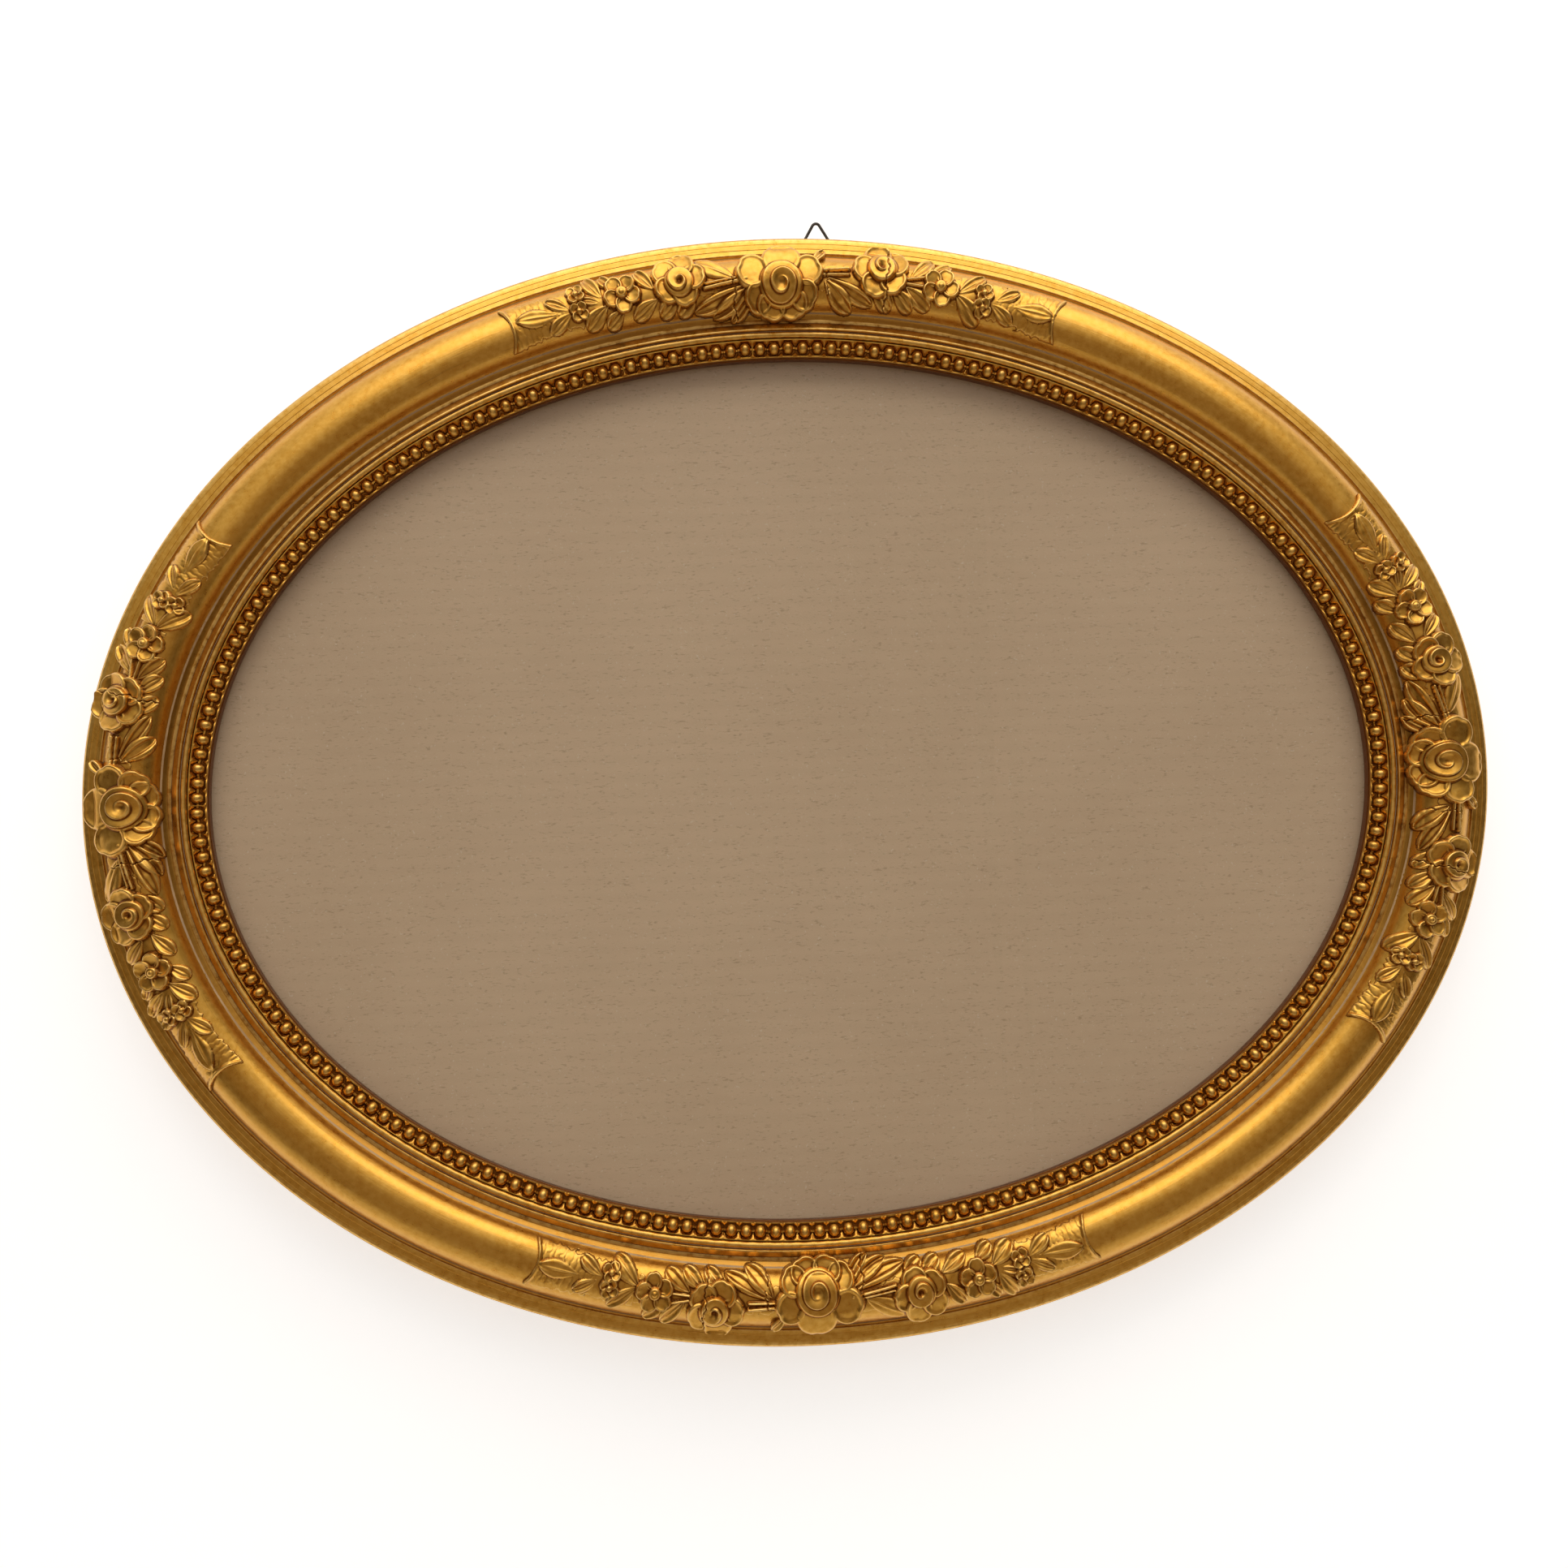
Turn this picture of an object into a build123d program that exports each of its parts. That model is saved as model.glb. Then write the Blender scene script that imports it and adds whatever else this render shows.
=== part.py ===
from build123d import *
import os
from collections import namedtuple
from math import asin, atan2, cos, degrees, radians, sin, sqrt

# Oval gilt picture frame, hung on the wall by a wire ring. The origin is the underside of the ring's
# top bend, where the hook bears. +X runs to the viewer's right, +Z up, and the front looks along -Y.
# Sections are drawn with the distance from the outer edge across and the height above the back up.

# Oval of the outer edge
frame_width = 570.0
frame_height = 449.0

# Widths of the moulding's members, from the outer edge inwards
band_width = 6.8
fillet_width = 0.4
quirk_width = 1.3
round_outer_width = 14.0
round_inner_width = 8.6
cove_width = 3.7
step_width = 1.6
slant_width = 2.3
ridge_width = 1.1
astragal_width = 2.6
channel_width = 8.0

# Heights of the moulding's members above the back
wall_height = 9.5
band_height = 12.2
quirk_height = 11.2
round_foot_height = 11.6
crest_height = 24.0
shoulder_height = 18.2
valley_height = 14.2
step_rise = 0.4
ridge_height = 16.6
astragal_height = 16.0
astragal_foot_height = 15.0
channel_height = 11.6
edge_easing = 0.8

# Rebate, glass and board
rebate_width = 6.5
rebate_depth = 6.6
glass_thickness = 2.0
board_thickness = 4.0
pane_clearance = 1.0

# Bead strip, made in quarters
bead_pitch = 5.9
bead_diameter = 4.8
bead_sink = 0.8
strip_thickness = 1.0
strip_lip_width = 0.9
strip_lip_rise = 1.1
strip_clearance = 0.3

# Garlands: the slips move each one clockwise along its side and inwards across the big round
garland_reach = 111.5
garland_half_width = 12.5
garland_slips = {"top": (0.5, 0.3), "right": (-0.7, 0.5), "bottom": (-0.8, 1.4), "left": (-0.6, -2.6)}
ground_thickness = 0.9
leaf_thickness = 2.0
petal_thickness = 3.2
heart_base = 2.5
heart_thickness = 4.4
bud_clearance = 0.4
panel_length = 22.5
panel_hollow = 2.4
tie_count = 12
tie_length = 17.0
tie_width = 11.0
leaf_sizes = {
    "end": (18.0, 7.0),
    "fan": (22.0, 6.8),
    "broad": (13.5, 6.6),
    "small": (10.5, 5.2),
}
Flower = namedtuple("Flower", "petals ring petal heart_ring heart_petal bud")
flower_sizes = {
    "rose": Flower(6, 9.3, 6.4, 4.6, 4.4, 2.6),
    "small_rose": Flower(5, 6.2, 5.0, 3.0, 3.4, 2.4),
    "daisy": Flower(5, 4.2, 3.2, 0, 0, 2.0),
    "floret": Flower(4, 2.3, 1.9, 0, 0, 1.8),
}

# Dowels in the joints of the rim
dowel_diameter = 6.0
dowel_length = 30.0
dowel_height = 6.5
dowel_spacing = 14.0
glue_gap = 0.1

# Hanging ring, bent from wire, and the folded plate that carries it
ring_side = 24.0
ring_wire = 1.2
ring_bend = 1.6
ring_rise = 10.3
ring_offset = 17.1
plate_sheet = 0.8
plate_width = 12.0
plate_length = 22.0
plate_corner = 2.5
plate_screw_inset = 7.0
plate_screw_spacing = 9.0
hinge_clearance = 0.05

# Turn buttons
button_count = 4
button_length = 30.0
button_width = 9.0
button_sheet = 1.2
button_overlap = 12.0
button_lift = 0.1
pivot_clearance = 0.1

# Wood screws of the hardware
screw_shank = 2.8
screw_length = 12.0
screw_point = 1.0
screw_head = 5.6
screw_head_height = 1.6
screw_slot_width = 0.8
screw_slot_depth = 0.6
thread_clearance = 0.05

# One overrun serves every cut
overrun = 1.0

# Places on the section, counted inwards from the outer edge
fillet_inset = band_width + fillet_width
foot_inset = fillet_inset + quirk_width
crest_inset = foot_inset + round_outer_width
shoulder_inset = crest_inset + round_inner_width
valley_inset = shoulder_inset + cove_width
slant_inset = valley_inset + step_width
ridge_inset = slant_inset + slant_width
astragal_inset = ridge_inset + ridge_width
channel_inset = astragal_inset + astragal_width
moulding_width = channel_inset + channel_width
rebate_inset = moulding_width - rebate_width
bead_inset = channel_inset + channel_width / 2

# The big round is one arc each side of its crest, and the cove follows the inner one
crest_rise = crest_height - round_foot_height
crest_drop = crest_height - shoulder_height
outer_radius = (round_outer_width**2 + crest_rise**2) / (2 * crest_rise)
inner_radius = (round_inner_width**2 + crest_drop**2) / (2 * crest_drop)
foot_angle = degrees(atan2(outer_radius - crest_rise, -round_outer_width))
shoulder_angle = degrees(atan2(inner_radius - crest_drop, round_inner_width))
shoulder_normal = Vector(cos(radians(shoulder_angle)), sin(radians(shoulder_angle)))
cove_chord = Vector(cove_width, valley_height - shoulder_height)
cove_radius = cove_chord.length**2 / (2 * cove_chord.dot(shoulder_normal))
cove_centre = Vector(shoulder_inset, shoulder_height) + shoulder_normal * cove_radius
cove_spoke = Vector(valley_inset, valley_height) - cove_centre
valley_angle = degrees(atan2(cove_spoke.Y, cove_spoke.X)) % 360

# A garland ends higher up the round, level with the band on one side and with the step on the other
garland_foot_angle = 180 - degrees(asin((band_height - crest_height + outer_radius) / outer_radius))
step_height = valley_height + step_rise
garland_valley_angle = 180 + degrees(asin((cove_centre.Y - step_height) / cove_radius))

# The ring's height from its bottom wire to its top bend, which lies inside the sharp corner
ring_height = ring_side * sqrt(3) / 2 - ring_bend
hinge_height = ring_wire / 2 - ring_height
fold_bore = ring_wire / 2 + hinge_clearance
fold_radius = fold_bore + plate_sheet
leaf_back = 2 * plate_sheet

# The oval's middle on the back of the rim, seen from the origin
half_width = frame_width / 2
half_height = frame_height / 2
edge_height = half_height * sqrt(1 - (ring_offset / half_width) ** 2)
oval_drop = edge_height + ring_rise - ring_wire
face_plane = Plane(origin=(-ring_offset, -fold_radius, -oval_drop), x_dir=(1, 0, 0), z_dir=(0, -1, 0))
front = face_plane.z_dir

Arc = namedtuple("Arc", "centre radius start sweep")


def oval_arc(begin, heading, end):
    """The clockwise arc that leaves a point along a heading and meets another point."""
    inward = Vector(heading.Y, -heading.X)
    chord = end - begin
    radius = chord.length**2 / (2 * chord.dot(inward))
    centre = begin + inward * radius
    start = degrees(atan2(begin.Y - centre.Y, begin.X - centre.X))
    stop = degrees(atan2(end.Y - centre.Y, end.X - centre.X))
    return Arc(centre, radius, start, (start - stop) % 360)


def oval_arcs():
    """The ellipse as tangent arcs, clockwise from the top: a pair of arcs for each eighth of a turn."""
    pairs = []
    for eighth in range(8):
        turns = radians(45 * eighth), radians(45 * (eighth + 1))
        begin, end = [Vector(half_width * sin(turn), half_height * cos(turn)) for turn in turns]
        headings = [Vector(half_width * cos(turn), -half_height * sin(turn)).normalized() for turn in turns]
        heading, last_heading = headings
        chord = end - begin
        spread = 2 * (1 - heading.dot(last_heading))
        along = chord.dot(heading + last_heading)
        reach = (sqrt(along**2 + spread * chord.dot(chord)) - along) / spread
        middle = (begin + end + (heading - last_heading) * reach) * 0.5
        first = oval_arc(begin, heading, middle)
        spoke = first.centre - middle
        pairs += [first, oval_arc(middle, Vector(-spoke.Y, spoke.X).normalized(), end)]
    return pairs


arcs = oval_arcs()


def line_length(inset):
    """Length of the line that runs round the oval at this inset."""
    return sum(radians(arc.sweep) * (arc.radius - inset) for arc in arcs)


def on_oval(distance, line_inset, inset):
    """Point at an inset and its clockwise heading, a distance from the top along a line of the oval."""
    left = distance % line_length(line_inset)
    for arc in arcs:
        length = radians(arc.sweep) * (arc.radius - line_inset)
        if left <= length:
            break
        left -= length
    angle = arc.start - degrees(left / (arc.radius - line_inset))
    spoke = Vector(cos(radians(angle)), sin(radians(angle)))
    return arc.centre + spoke * (arc.radius - inset), angle - 90


def section_plane(arc):
    """Plane across the moulding at the start of an arc: inset along x, height above the back along y."""
    spoke = Vector(cos(radians(arc.start)), sin(radians(arc.start)))
    origin = face_plane.from_local_coords(arc.centre + spoke * arc.radius)
    inward = Vector(-spoke.X, 0, -spoke.Y)
    return Plane(origin=origin, x_dir=inward, z_dir=inward.cross(front))


def arc_axis(arc):
    """Axis of an arc, turned so that a revolve about it goes clockwise as seen from the front."""
    return Axis(face_plane.from_local_coords(arc.centre), -front)


def draw_big_round(lift, outer_angle, inner_angle):
    """The big round and its cove between two angles, raised off their surface. Returns both ends."""
    outer_centre = (crest_inset, crest_height - outer_radius)
    inner_centre = (crest_inset, crest_height - inner_radius)
    outer = CenterArc(outer_centre, outer_radius + lift, 90, outer_angle - 90)
    CenterArc(inner_centre, inner_radius + lift, shoulder_angle, 90 - shoulder_angle)
    cove_start = shoulder_angle + 180
    cove = CenterArc(cove_centre, cove_radius - lift, cove_start, inner_angle - cove_start)
    return outer @ 1, cove @ 1


def draw_moulding():
    """Outline of the whole moulding, from the back of its outer wall to its rebate."""
    foot, valley = draw_big_round(0, foot_angle, valley_angle)
    Polyline(
        (0, 0),
        (0, wall_height),
        (edge_easing, wall_height + edge_easing),
        (band_width, band_height),
        (fillet_inset, band_height),
    )
    ThreePointArc((fillet_inset, band_height), (fillet_inset + quirk_width / 2, quirk_height), foot)
    Polyline(
        valley,
        (valley_inset, step_height),
        (slant_inset, step_height),
        (slant_inset, valley_height),
        (ridge_inset, ridge_height),
        (ridge_inset + ridge_width / 2, ridge_height),
        (astragal_inset, astragal_foot_height),
    )
    ThreePointArc(
        (astragal_inset, astragal_foot_height),
        (astragal_inset + astragal_width / 2, astragal_height),
        (channel_inset, astragal_foot_height),
    )
    Polyline(
        (channel_inset, astragal_foot_height),
        (channel_inset, channel_height),
        (moulding_width, channel_height),
        (moulding_width, rebate_depth),
        (rebate_inset, rebate_depth),
        (rebate_inset, 0),
        (0, 0),
    )


def draw_coat(base, top):
    """Outline of a garland's coat between two lifts off the big round."""
    foot, valley = draw_big_round(base, garland_foot_angle, garland_valley_angle)
    raised_foot, raised_valley = draw_big_round(top, garland_foot_angle, garland_valley_angle)
    Line(foot, raised_foot)
    Line(valley, raised_valley)


def draw_strip():
    """Outline of the bead strip without its beads: a thin band with a lip on its inner side."""
    low, high = channel_inset + strip_clearance, moulding_width - strip_clearance
    top = channel_height + strip_thickness
    Polyline(
        (low, channel_height),
        (low, top),
        (high - strip_lip_width, top),
        (high - strip_lip_width, top + strip_lip_rise),
        (high, top + strip_lip_rise),
        (high, channel_height),
        (low, channel_height),
    )


def revolve_section(arc, draw, *sizes):
    """Add an outline swept along one arc of the oval to the part in work."""
    with BuildSketch(section_plane(arc)) as section:
        with BuildLine():
            draw(*sizes)
        make_face()
    revolve(section.sketch, axis=arc_axis(arc), revolution_arc=arc.sweep)


def make_pane(inset, height, thickness):
    """A flat oval with its back at a height above the back of the rim."""
    with BuildPart() as pane:
        with BuildSketch(face_plane.offset(height)):
            with BuildLine():
                for arc in arcs:
                    CenterArc(arc.centre, arc.radius - inset, arc.start, -arc.sweep)
            make_face()
        extrude(amount=thickness)
    return pane


def make_dowels(gap):
    """Two dowels in each joint of the rim, or their holes where the gap isn't zero."""
    middle = rebate_inset / 2
    with BuildPart() as dowels:
        for arc in arcs[1::2]:
            with BuildSketch(section_plane(arc).offset(-dowel_length / 2 - gap)):
                with Locations((middle, dowel_height)):
                    with GridLocations(dowel_spacing, 0, 2, 1):
                        Circle(dowel_diameter / 2 + gap)
            extrude(amount=dowel_length + 2 * gap)
    return dowels


def back_plane(distance, inset):
    """Plane on the back of the rim: x points inwards and z away from the wood."""
    point, heading = on_oval(distance, crest_inset, inset)
    inward = Vector(cos(radians(heading - 90)), 0, sin(radians(heading - 90)))
    return Plane(origin=face_plane.from_local_coords(point), x_dir=inward, z_dir=-front)


def make_screws(planes, grip):
    """Round-headed wood screws through something that lifts their heads off the wood by a grip."""
    head_top = grip + screw_head_height
    with BuildPart() as screw:
        Cylinder(screw_head / 2, head_top, align=(Align.CENTER, Align.CENTER, Align.MIN))
        fillet(screw.faces().sort_by(Axis.Z)[-1].edges(), screw_head_height / 2)
        with BuildSketch(Plane.XY):
            Circle(screw_head / 2)
            Circle(screw_shank / 2, mode=Mode.SUBTRACT)
        extrude(amount=grip, mode=Mode.SUBTRACT)
        with BuildSketch(Plane.XY.offset(grip)):
            Circle(screw_shank / 2)
        extrude(amount=-screw_length)
        chamfer(screw.faces().sort_by(Axis.Z)[0].edges(), screw_point)
        with BuildSketch(Plane.XY.offset(head_top)):
            Rectangle(screw_head, screw_slot_width)
        extrude(amount=-screw_slot_depth, mode=Mode.SUBTRACT)
    with BuildPart() as screws:
        with Locations(*planes):
            add(screw.part)
    return screws


def make_bores(planes, grip):
    """Pilot holes of the same screws, open at the back of the rim."""
    depth = screw_length - grip + overrun
    with BuildPart() as bores:
        for plane in planes:
            with BuildSketch(plane.offset(-depth)):
                Circle(screw_shank / 2 + thread_clearance)
            extrude(amount=depth + overrun)
    return bores


# Places of the hardware on the back of the rim
perimeter = line_length(crest_inset)
button_reach = button_length - button_width / 2
pivot_inset = rebate_inset + button_overlap - button_reach
button_grip = button_sheet + 2 * button_lift
button_planes = [
    back_plane((turn + 0.5) * perimeter / button_count, pivot_inset) for turn in range(button_count)
]
plate_screw_drops = (plate_screw_inset, plate_screw_inset + plate_screw_spacing)
plate_planes = [
    Plane(origin=(0, -fold_radius, hinge_height - drop), x_dir=(1, 0, 0), z_dir=-front)
    for drop in plate_screw_drops
]

# Layout of a garland, seen from the front with the outer edge up and the rim running clockwise to the
# right: shares of the garland's reach along, shares of its half width inwards, and for a leaf the turn of
# its tip from clockwise towards the sight edge, in degrees
flower_shares = {
    "rose": [(0.0, 0.0)],
    "small_rose": [(-0.364, -0.36), (0.356, -0.40)],
    "daisy": [(-0.557, -0.34), (0.569, -0.34)],
    "floret": [(-0.717, -0.62), (-0.717, -0.12), (0.729, -0.12)],
}
leaf_shares = {
    "end": [(-0.821, 0.0, 193), (0.841, -0.10, 3)],
    "fan": [
        (-0.095, 0.06, 150),
        (-0.095, 0.06, 137),
        (-0.095, 0.06, 122),
        (0.154, -0.12, 54),
        (0.166, -0.20, 30),
    ],
    "broad": [
        (-0.613, -0.06, 136),
        (-0.441, 0.18, 155),
        (-0.40, 0.15, 112),
        (-0.33, 0.15, 100),
        (0.10, 0.06, 107),
        (0.344, 0.05, 50),
        (0.415, 0.0, 46),
        (0.468, -0.05, 38),
        (0.637, -0.18, 46),
        (0.637, -0.35, -35),
        (-0.465, -0.12, 240),
        (-0.172, -0.30, 210),
    ],
    "small": [
        (-0.75, -0.34, 199),
        (-0.75, 0.0, 155),
        (-0.64, -0.35, 246),
        (-0.569, 0.15, 131),
        (0.444, -0.35, -40),
        (0.782, -0.32, -34),
        (0.77, -0.12, 34),
    ],
}
panel_share = 0.80
panel_width_share = 0.75
panel_neck_share = 0.60


def make_outline(kind):
    """Outline of a leaf or an end panel from its base at the origin along x, or of a tie about it."""
    with BuildSketch() as outline:
        if kind == "tie":
            Rectangle(tie_length, tie_width)
        elif kind == "panel":
            flare, neck = [garland_half_width * share for share in (panel_width_share, panel_neck_share)]
            with BuildLine():
                Polyline((panel_length, -flare), (0, -neck), (0, neck), (panel_length, flare))
                ThreePointArc(
                    (panel_length, -flare), (panel_length - panel_hollow, 0), (panel_length, flare)
                )
            make_face()
        else:
            length, width = leaf_sizes[kind]
            with BuildLine():
                SagittaArc((0, 0), (length, 0), width / 2)
                SagittaArc((0, 0), (length, 0), -width / 2)
            make_face()
    return outline.sketch


def make_petals(count, ring, petal):
    """Outline of a ring of round petals with its middle filled."""
    with BuildSketch() as petals:
        Circle(ring)
        with PolarLocations(ring, count):
            Circle(petal)
    return petals.sketch


def face_location(side, along_share, across_share, turn):
    """Place of a piece of ornament on the front view of the oval, turned from the clockwise heading."""
    slip_along, slip_across = garland_slips[side]
    middle = list(garland_slips).index(side) * perimeter / 4 + slip_along
    inset = crest_inset + slip_across + across_share * garland_half_width
    point, heading = on_oval(middle + along_share * garland_reach, crest_inset, inset)
    return Location((point.X, point.Y, 0), (0, 0, heading - turn)), inset


def height_over_round(inset, rise):
    """Height above the back of a spot straight in front of the big round, a rise off its surface."""
    radius = outer_radius if inset < crest_inset else inner_radius
    return crest_height - radius + sqrt((radius + rise) ** 2 - (inset - crest_inset) ** 2)


def make_coat(side, base, top, rows):
    """A coat between two lifts off the big round, cut to outlines drawn on the front view."""
    first = 4 * list(garland_slips).index(side) - 2
    with BuildPart() as coat:
        for arc in [arcs[index % len(arcs)] for index in range(first, first + 4)]:
            revolve_section(arc, draw_coat, base, top)
        with BuildSketch(face_plane):
            for outline, along, across, turn in rows:
                with Locations(face_location(side, along, across, turn)[0]):
                    add(outline)
        extrude(amount=crest_height + top + overrun, mode=Mode.INTERSECT)
    return coat.part


def make_garland(side):
    """One garland: ties and end panels as its ground, then leaves, petals, hearts and round buds."""
    panel, tie = make_outline("panel"), make_outline("tie")
    ground = [(panel, -panel_share, 0, 180), (panel, panel_share, 0, 0)]
    for number in range(tie_count):
        ground.append((tie, panel_share * ((2 * number + 1) / tie_count - 1), 0, 0))
    leaves = [
        (make_outline(kind), *place) for kind, places in leaf_shares.items() for place in places
    ]
    petals, hearts = [], []
    for kind, spots in flower_shares.items():
        size = flower_sizes[kind]
        for spot in spots:
            petals.append((make_petals(size.petals, size.ring, size.petal), *spot, 0))
            if size.heart_ring > 0:
                turn = 180 / size.petals
                hearts.append((make_petals(size.petals, size.heart_ring, size.heart_petal), *spot, turn))
    coats = [
        make_coat(side, 0, ground_thickness, ground),
        make_coat(side, 0, leaf_thickness, leaves),
        make_coat(side, 0, petal_thickness, petals),
        make_coat(side, heart_base, heart_thickness, hearts),
    ]
    with BuildPart() as garland:
        add(coats)
        for kind, spots in flower_shares.items():
            bud = flower_sizes[kind].bud
            for spot in spots:
                location, inset = face_location(side, *spot, 0)
                height = height_over_round(inset, bud_clearance + bud)
                point = Vector(location.position.X, location.position.Y, height)
                with Locations(face_plane.from_local_coords(point)):
                    Sphere(bud)
    return garland


def export(builder, name):
    """Label a finished piece and write it."""
    builder.part.label = name
    export_step(builder.part, f"parts/{name}.step")


os.makedirs("parts", exist_ok=True)

# Rim: eight lengths of wood, doweled and glued end to end
rim_names = ["top", "top_right", "right", "bottom_right", "bottom", "bottom_left", "left", "top_left"]
dowel_bores = make_dowels(glue_gap)
screw_bores = [make_bores(button_planes, button_grip), make_bores(plate_planes, leaf_back)]
for number, name in enumerate(rim_names):
    with BuildPart() as rim:
        for arc in (arcs[2 * number - 1], arcs[2 * number]):
            revolve_section(arc, draw_moulding)
        add([dowel_bores.part] + [bores.part for bores in screw_bores], mode=Mode.SUBTRACT)
    export(rim, f"rim_{name}")

joint_dowels = make_dowels(0)
export(joint_dowels, "joint_dowels")

# Bead strip: one quarter is made and the other three mirror it
quarter_length = line_length(bead_inset) / 4
bead_count = round(quarter_length / bead_pitch)
bead_height = channel_height + strip_thickness + bead_diameter / 2 - bead_sink
with BuildPart() as bead_strip_1:
    for arc in arcs[:4]:
        revolve_section(arc, draw_strip)
    places = [
        on_oval((bead + 0.5) * quarter_length / bead_count, bead_inset, bead_inset)[0]
        for bead in range(bead_count)
    ]
    spots = [face_plane.from_local_coords(Vector(place.X, place.Y, bead_height)) for place in places]
    with Locations(*spots):
        Sphere(bead_diameter / 2)
across_plane = Plane(origin=face_plane.origin, z_dir=(1, 0, 0))
level_plane = Plane(origin=face_plane.origin, z_dir=(0, 0, 1))
with BuildPart() as bead_strip_2:
    mirror(bead_strip_1.part, about=level_plane)
with BuildPart() as bead_strip_3:
    mirror(bead_strip_2.part, about=across_plane)
with BuildPart() as bead_strip_4:
    mirror(bead_strip_1.part, about=across_plane)
for number, strip in enumerate((bead_strip_1, bead_strip_2, bead_strip_3, bead_strip_4), start=1):
    export(strip, f"bead_strip_{number}")

# Glass against the shoulder of the rebate, and the board behind it
glass_height = rebate_depth - glass_thickness
export(make_pane(rebate_inset + pane_clearance, glass_height, glass_thickness), "glass_pane")
export(
    make_pane(rebate_inset + pane_clearance, glass_height - board_thickness, board_thickness),
    "backing_board",
)

# Garlands on the big round
for side in garland_slips:
    export(make_garland(side), f"garland_{side}")

# Hanger plate: a strap folded round the ring's bottom wire, both leaves flat on the wood
fold_plane = Plane(origin=(-plate_width / 2, 0, hinge_height), x_dir=(0, 1, 0), z_dir=(1, 0, 0))
with BuildPart() as hanger_plate:
    with BuildSketch(fold_plane):
        Circle(fold_radius)
        with Locations((-fold_radius, 0)):
            Rectangle(leaf_back, plate_length, align=(Align.MIN, Align.MAX))
        Circle(fold_bore, mode=Mode.SUBTRACT)
    extrude(amount=plate_width)
    fillet(hanger_plate.edges().filter_by(Axis.Y).group_by(Axis.Z)[0], plate_corner)
    for plane in plate_planes:
        with BuildSketch(plane):
            Circle(screw_shank / 2 + pivot_clearance)
        extrude(amount=leaf_back, mode=Mode.SUBTRACT)
export(hanger_plate, "hanger_plate")

# Hanging ring, upright as it hangs on its hook
ring_plane = Plane(origin=(0, 0, hinge_height), x_dir=(1, 0, 0), z_dir=front)
with BuildPart() as hanging_ring:
    with BuildLine(ring_plane) as ring_line:
        corners = (-ring_side / 2, 0), (ring_side / 2, 0), (0, ring_side * sqrt(3) / 2)
        FilletPolyline(*corners, radius=ring_bend, close=True)
    with BuildSketch(Plane(origin=ring_line.wire() @ 0, z_dir=ring_line.wire() % 0)):
        Circle(ring_wire / 2)
    sweep(path=ring_line.wire())
export(hanging_ring, "hanging_ring")

# Turn buttons, closed over the board
for number, plane in enumerate(button_planes, start=1):
    with BuildPart() as turn_button:
        with BuildSketch(plane.offset(button_lift)):
            with Locations(((button_reach - button_width / 2) / 2, 0)):
                SlotOverall(button_length, button_width)
            Circle(screw_shank / 2 + pivot_clearance, mode=Mode.SUBTRACT)
        extrude(amount=button_sheet)
    export(turn_button, f"turn_button_{number}")

export(make_screws(button_planes, button_grip), "turn_button_screws")
export(make_screws(plate_planes, leaf_back), "hanger_screws")
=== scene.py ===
import math

import bpy
import numpy as np
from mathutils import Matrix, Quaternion, Vector


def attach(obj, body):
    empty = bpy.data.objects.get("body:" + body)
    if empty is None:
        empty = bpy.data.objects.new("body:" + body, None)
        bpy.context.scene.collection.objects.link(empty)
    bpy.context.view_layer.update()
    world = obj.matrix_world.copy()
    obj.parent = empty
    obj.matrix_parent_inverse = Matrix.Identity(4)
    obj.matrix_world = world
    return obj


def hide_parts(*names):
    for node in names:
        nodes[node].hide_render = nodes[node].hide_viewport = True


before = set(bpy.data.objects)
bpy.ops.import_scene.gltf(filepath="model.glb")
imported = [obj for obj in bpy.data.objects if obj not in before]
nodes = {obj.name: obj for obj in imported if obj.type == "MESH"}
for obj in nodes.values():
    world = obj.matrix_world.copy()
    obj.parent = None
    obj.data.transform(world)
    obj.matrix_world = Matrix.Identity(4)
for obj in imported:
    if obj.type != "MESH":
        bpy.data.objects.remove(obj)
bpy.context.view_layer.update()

# Camera, at the photograph's angle
# The camera stands a little left of the frame and below it, and is turned so that
# the frame's right end sits slightly high.
MM = 0.001
target = Vector((-21.83, -11.0, -232.16)) * MM
distance = 0.8484
azimuth, elevation, turn = math.radians(-2.7), math.radians(-2.4), math.radians(-2.0)
back = Vector((
    math.sin(azimuth) * math.cos(elevation),
    -math.cos(azimuth) * math.cos(elevation),
    math.sin(elevation),
))
camera = bpy.data.objects.new("camera", bpy.data.cameras.new("camera"))
bpy.context.collection.objects.link(camera)
camera.data.sensor_width = 36.0
camera.data.lens = 48.1
camera.data.clip_start, camera.data.clip_end = 0.01, 50.0
camera.location = target + back * distance
camera.rotation_mode = "QUATERNION"
camera.rotation_quaternion = (-back).to_track_quat("-Z", "Y") @ Quaternion((0, 0, 1), turn)
bpy.context.scene.camera = camera

# Light
# A wide soft lamp above and in front, one behind for the back, and a soft surrounding. Both lamps face the
# middle of the oval.
OVAL_X, OVAL_Z = -17.1, -233.2
oval_middle = (OVAL_X * MM, 0.0, OVAL_Z * MM)


def make_lamp(name, place, width, height, watts, colour):
    data = bpy.data.lights.new(name, "AREA")
    data.shape, data.size, data.size_y = "RECTANGLE", width, height
    data.energy, data.color = watts, colour
    lamp = bpy.data.objects.new(name, data)
    bpy.context.collection.objects.link(lamp)
    lamp.location = place
    lamp.rotation_mode = "QUATERNION"
    lamp.rotation_quaternion = (Vector(oval_middle) - Vector(place)).to_track_quat("-Z", "Y")


make_lamp("lamp_above", (0.15, -0.72, 1.30), 2.2, 1.3, 13.0, (1.0, 0.98, 0.95))
make_lamp("lamp_behind", (-0.4, 1.4, 0.9), 1.4, 1.0, 10.0, (1.0, 0.98, 0.96))


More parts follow.
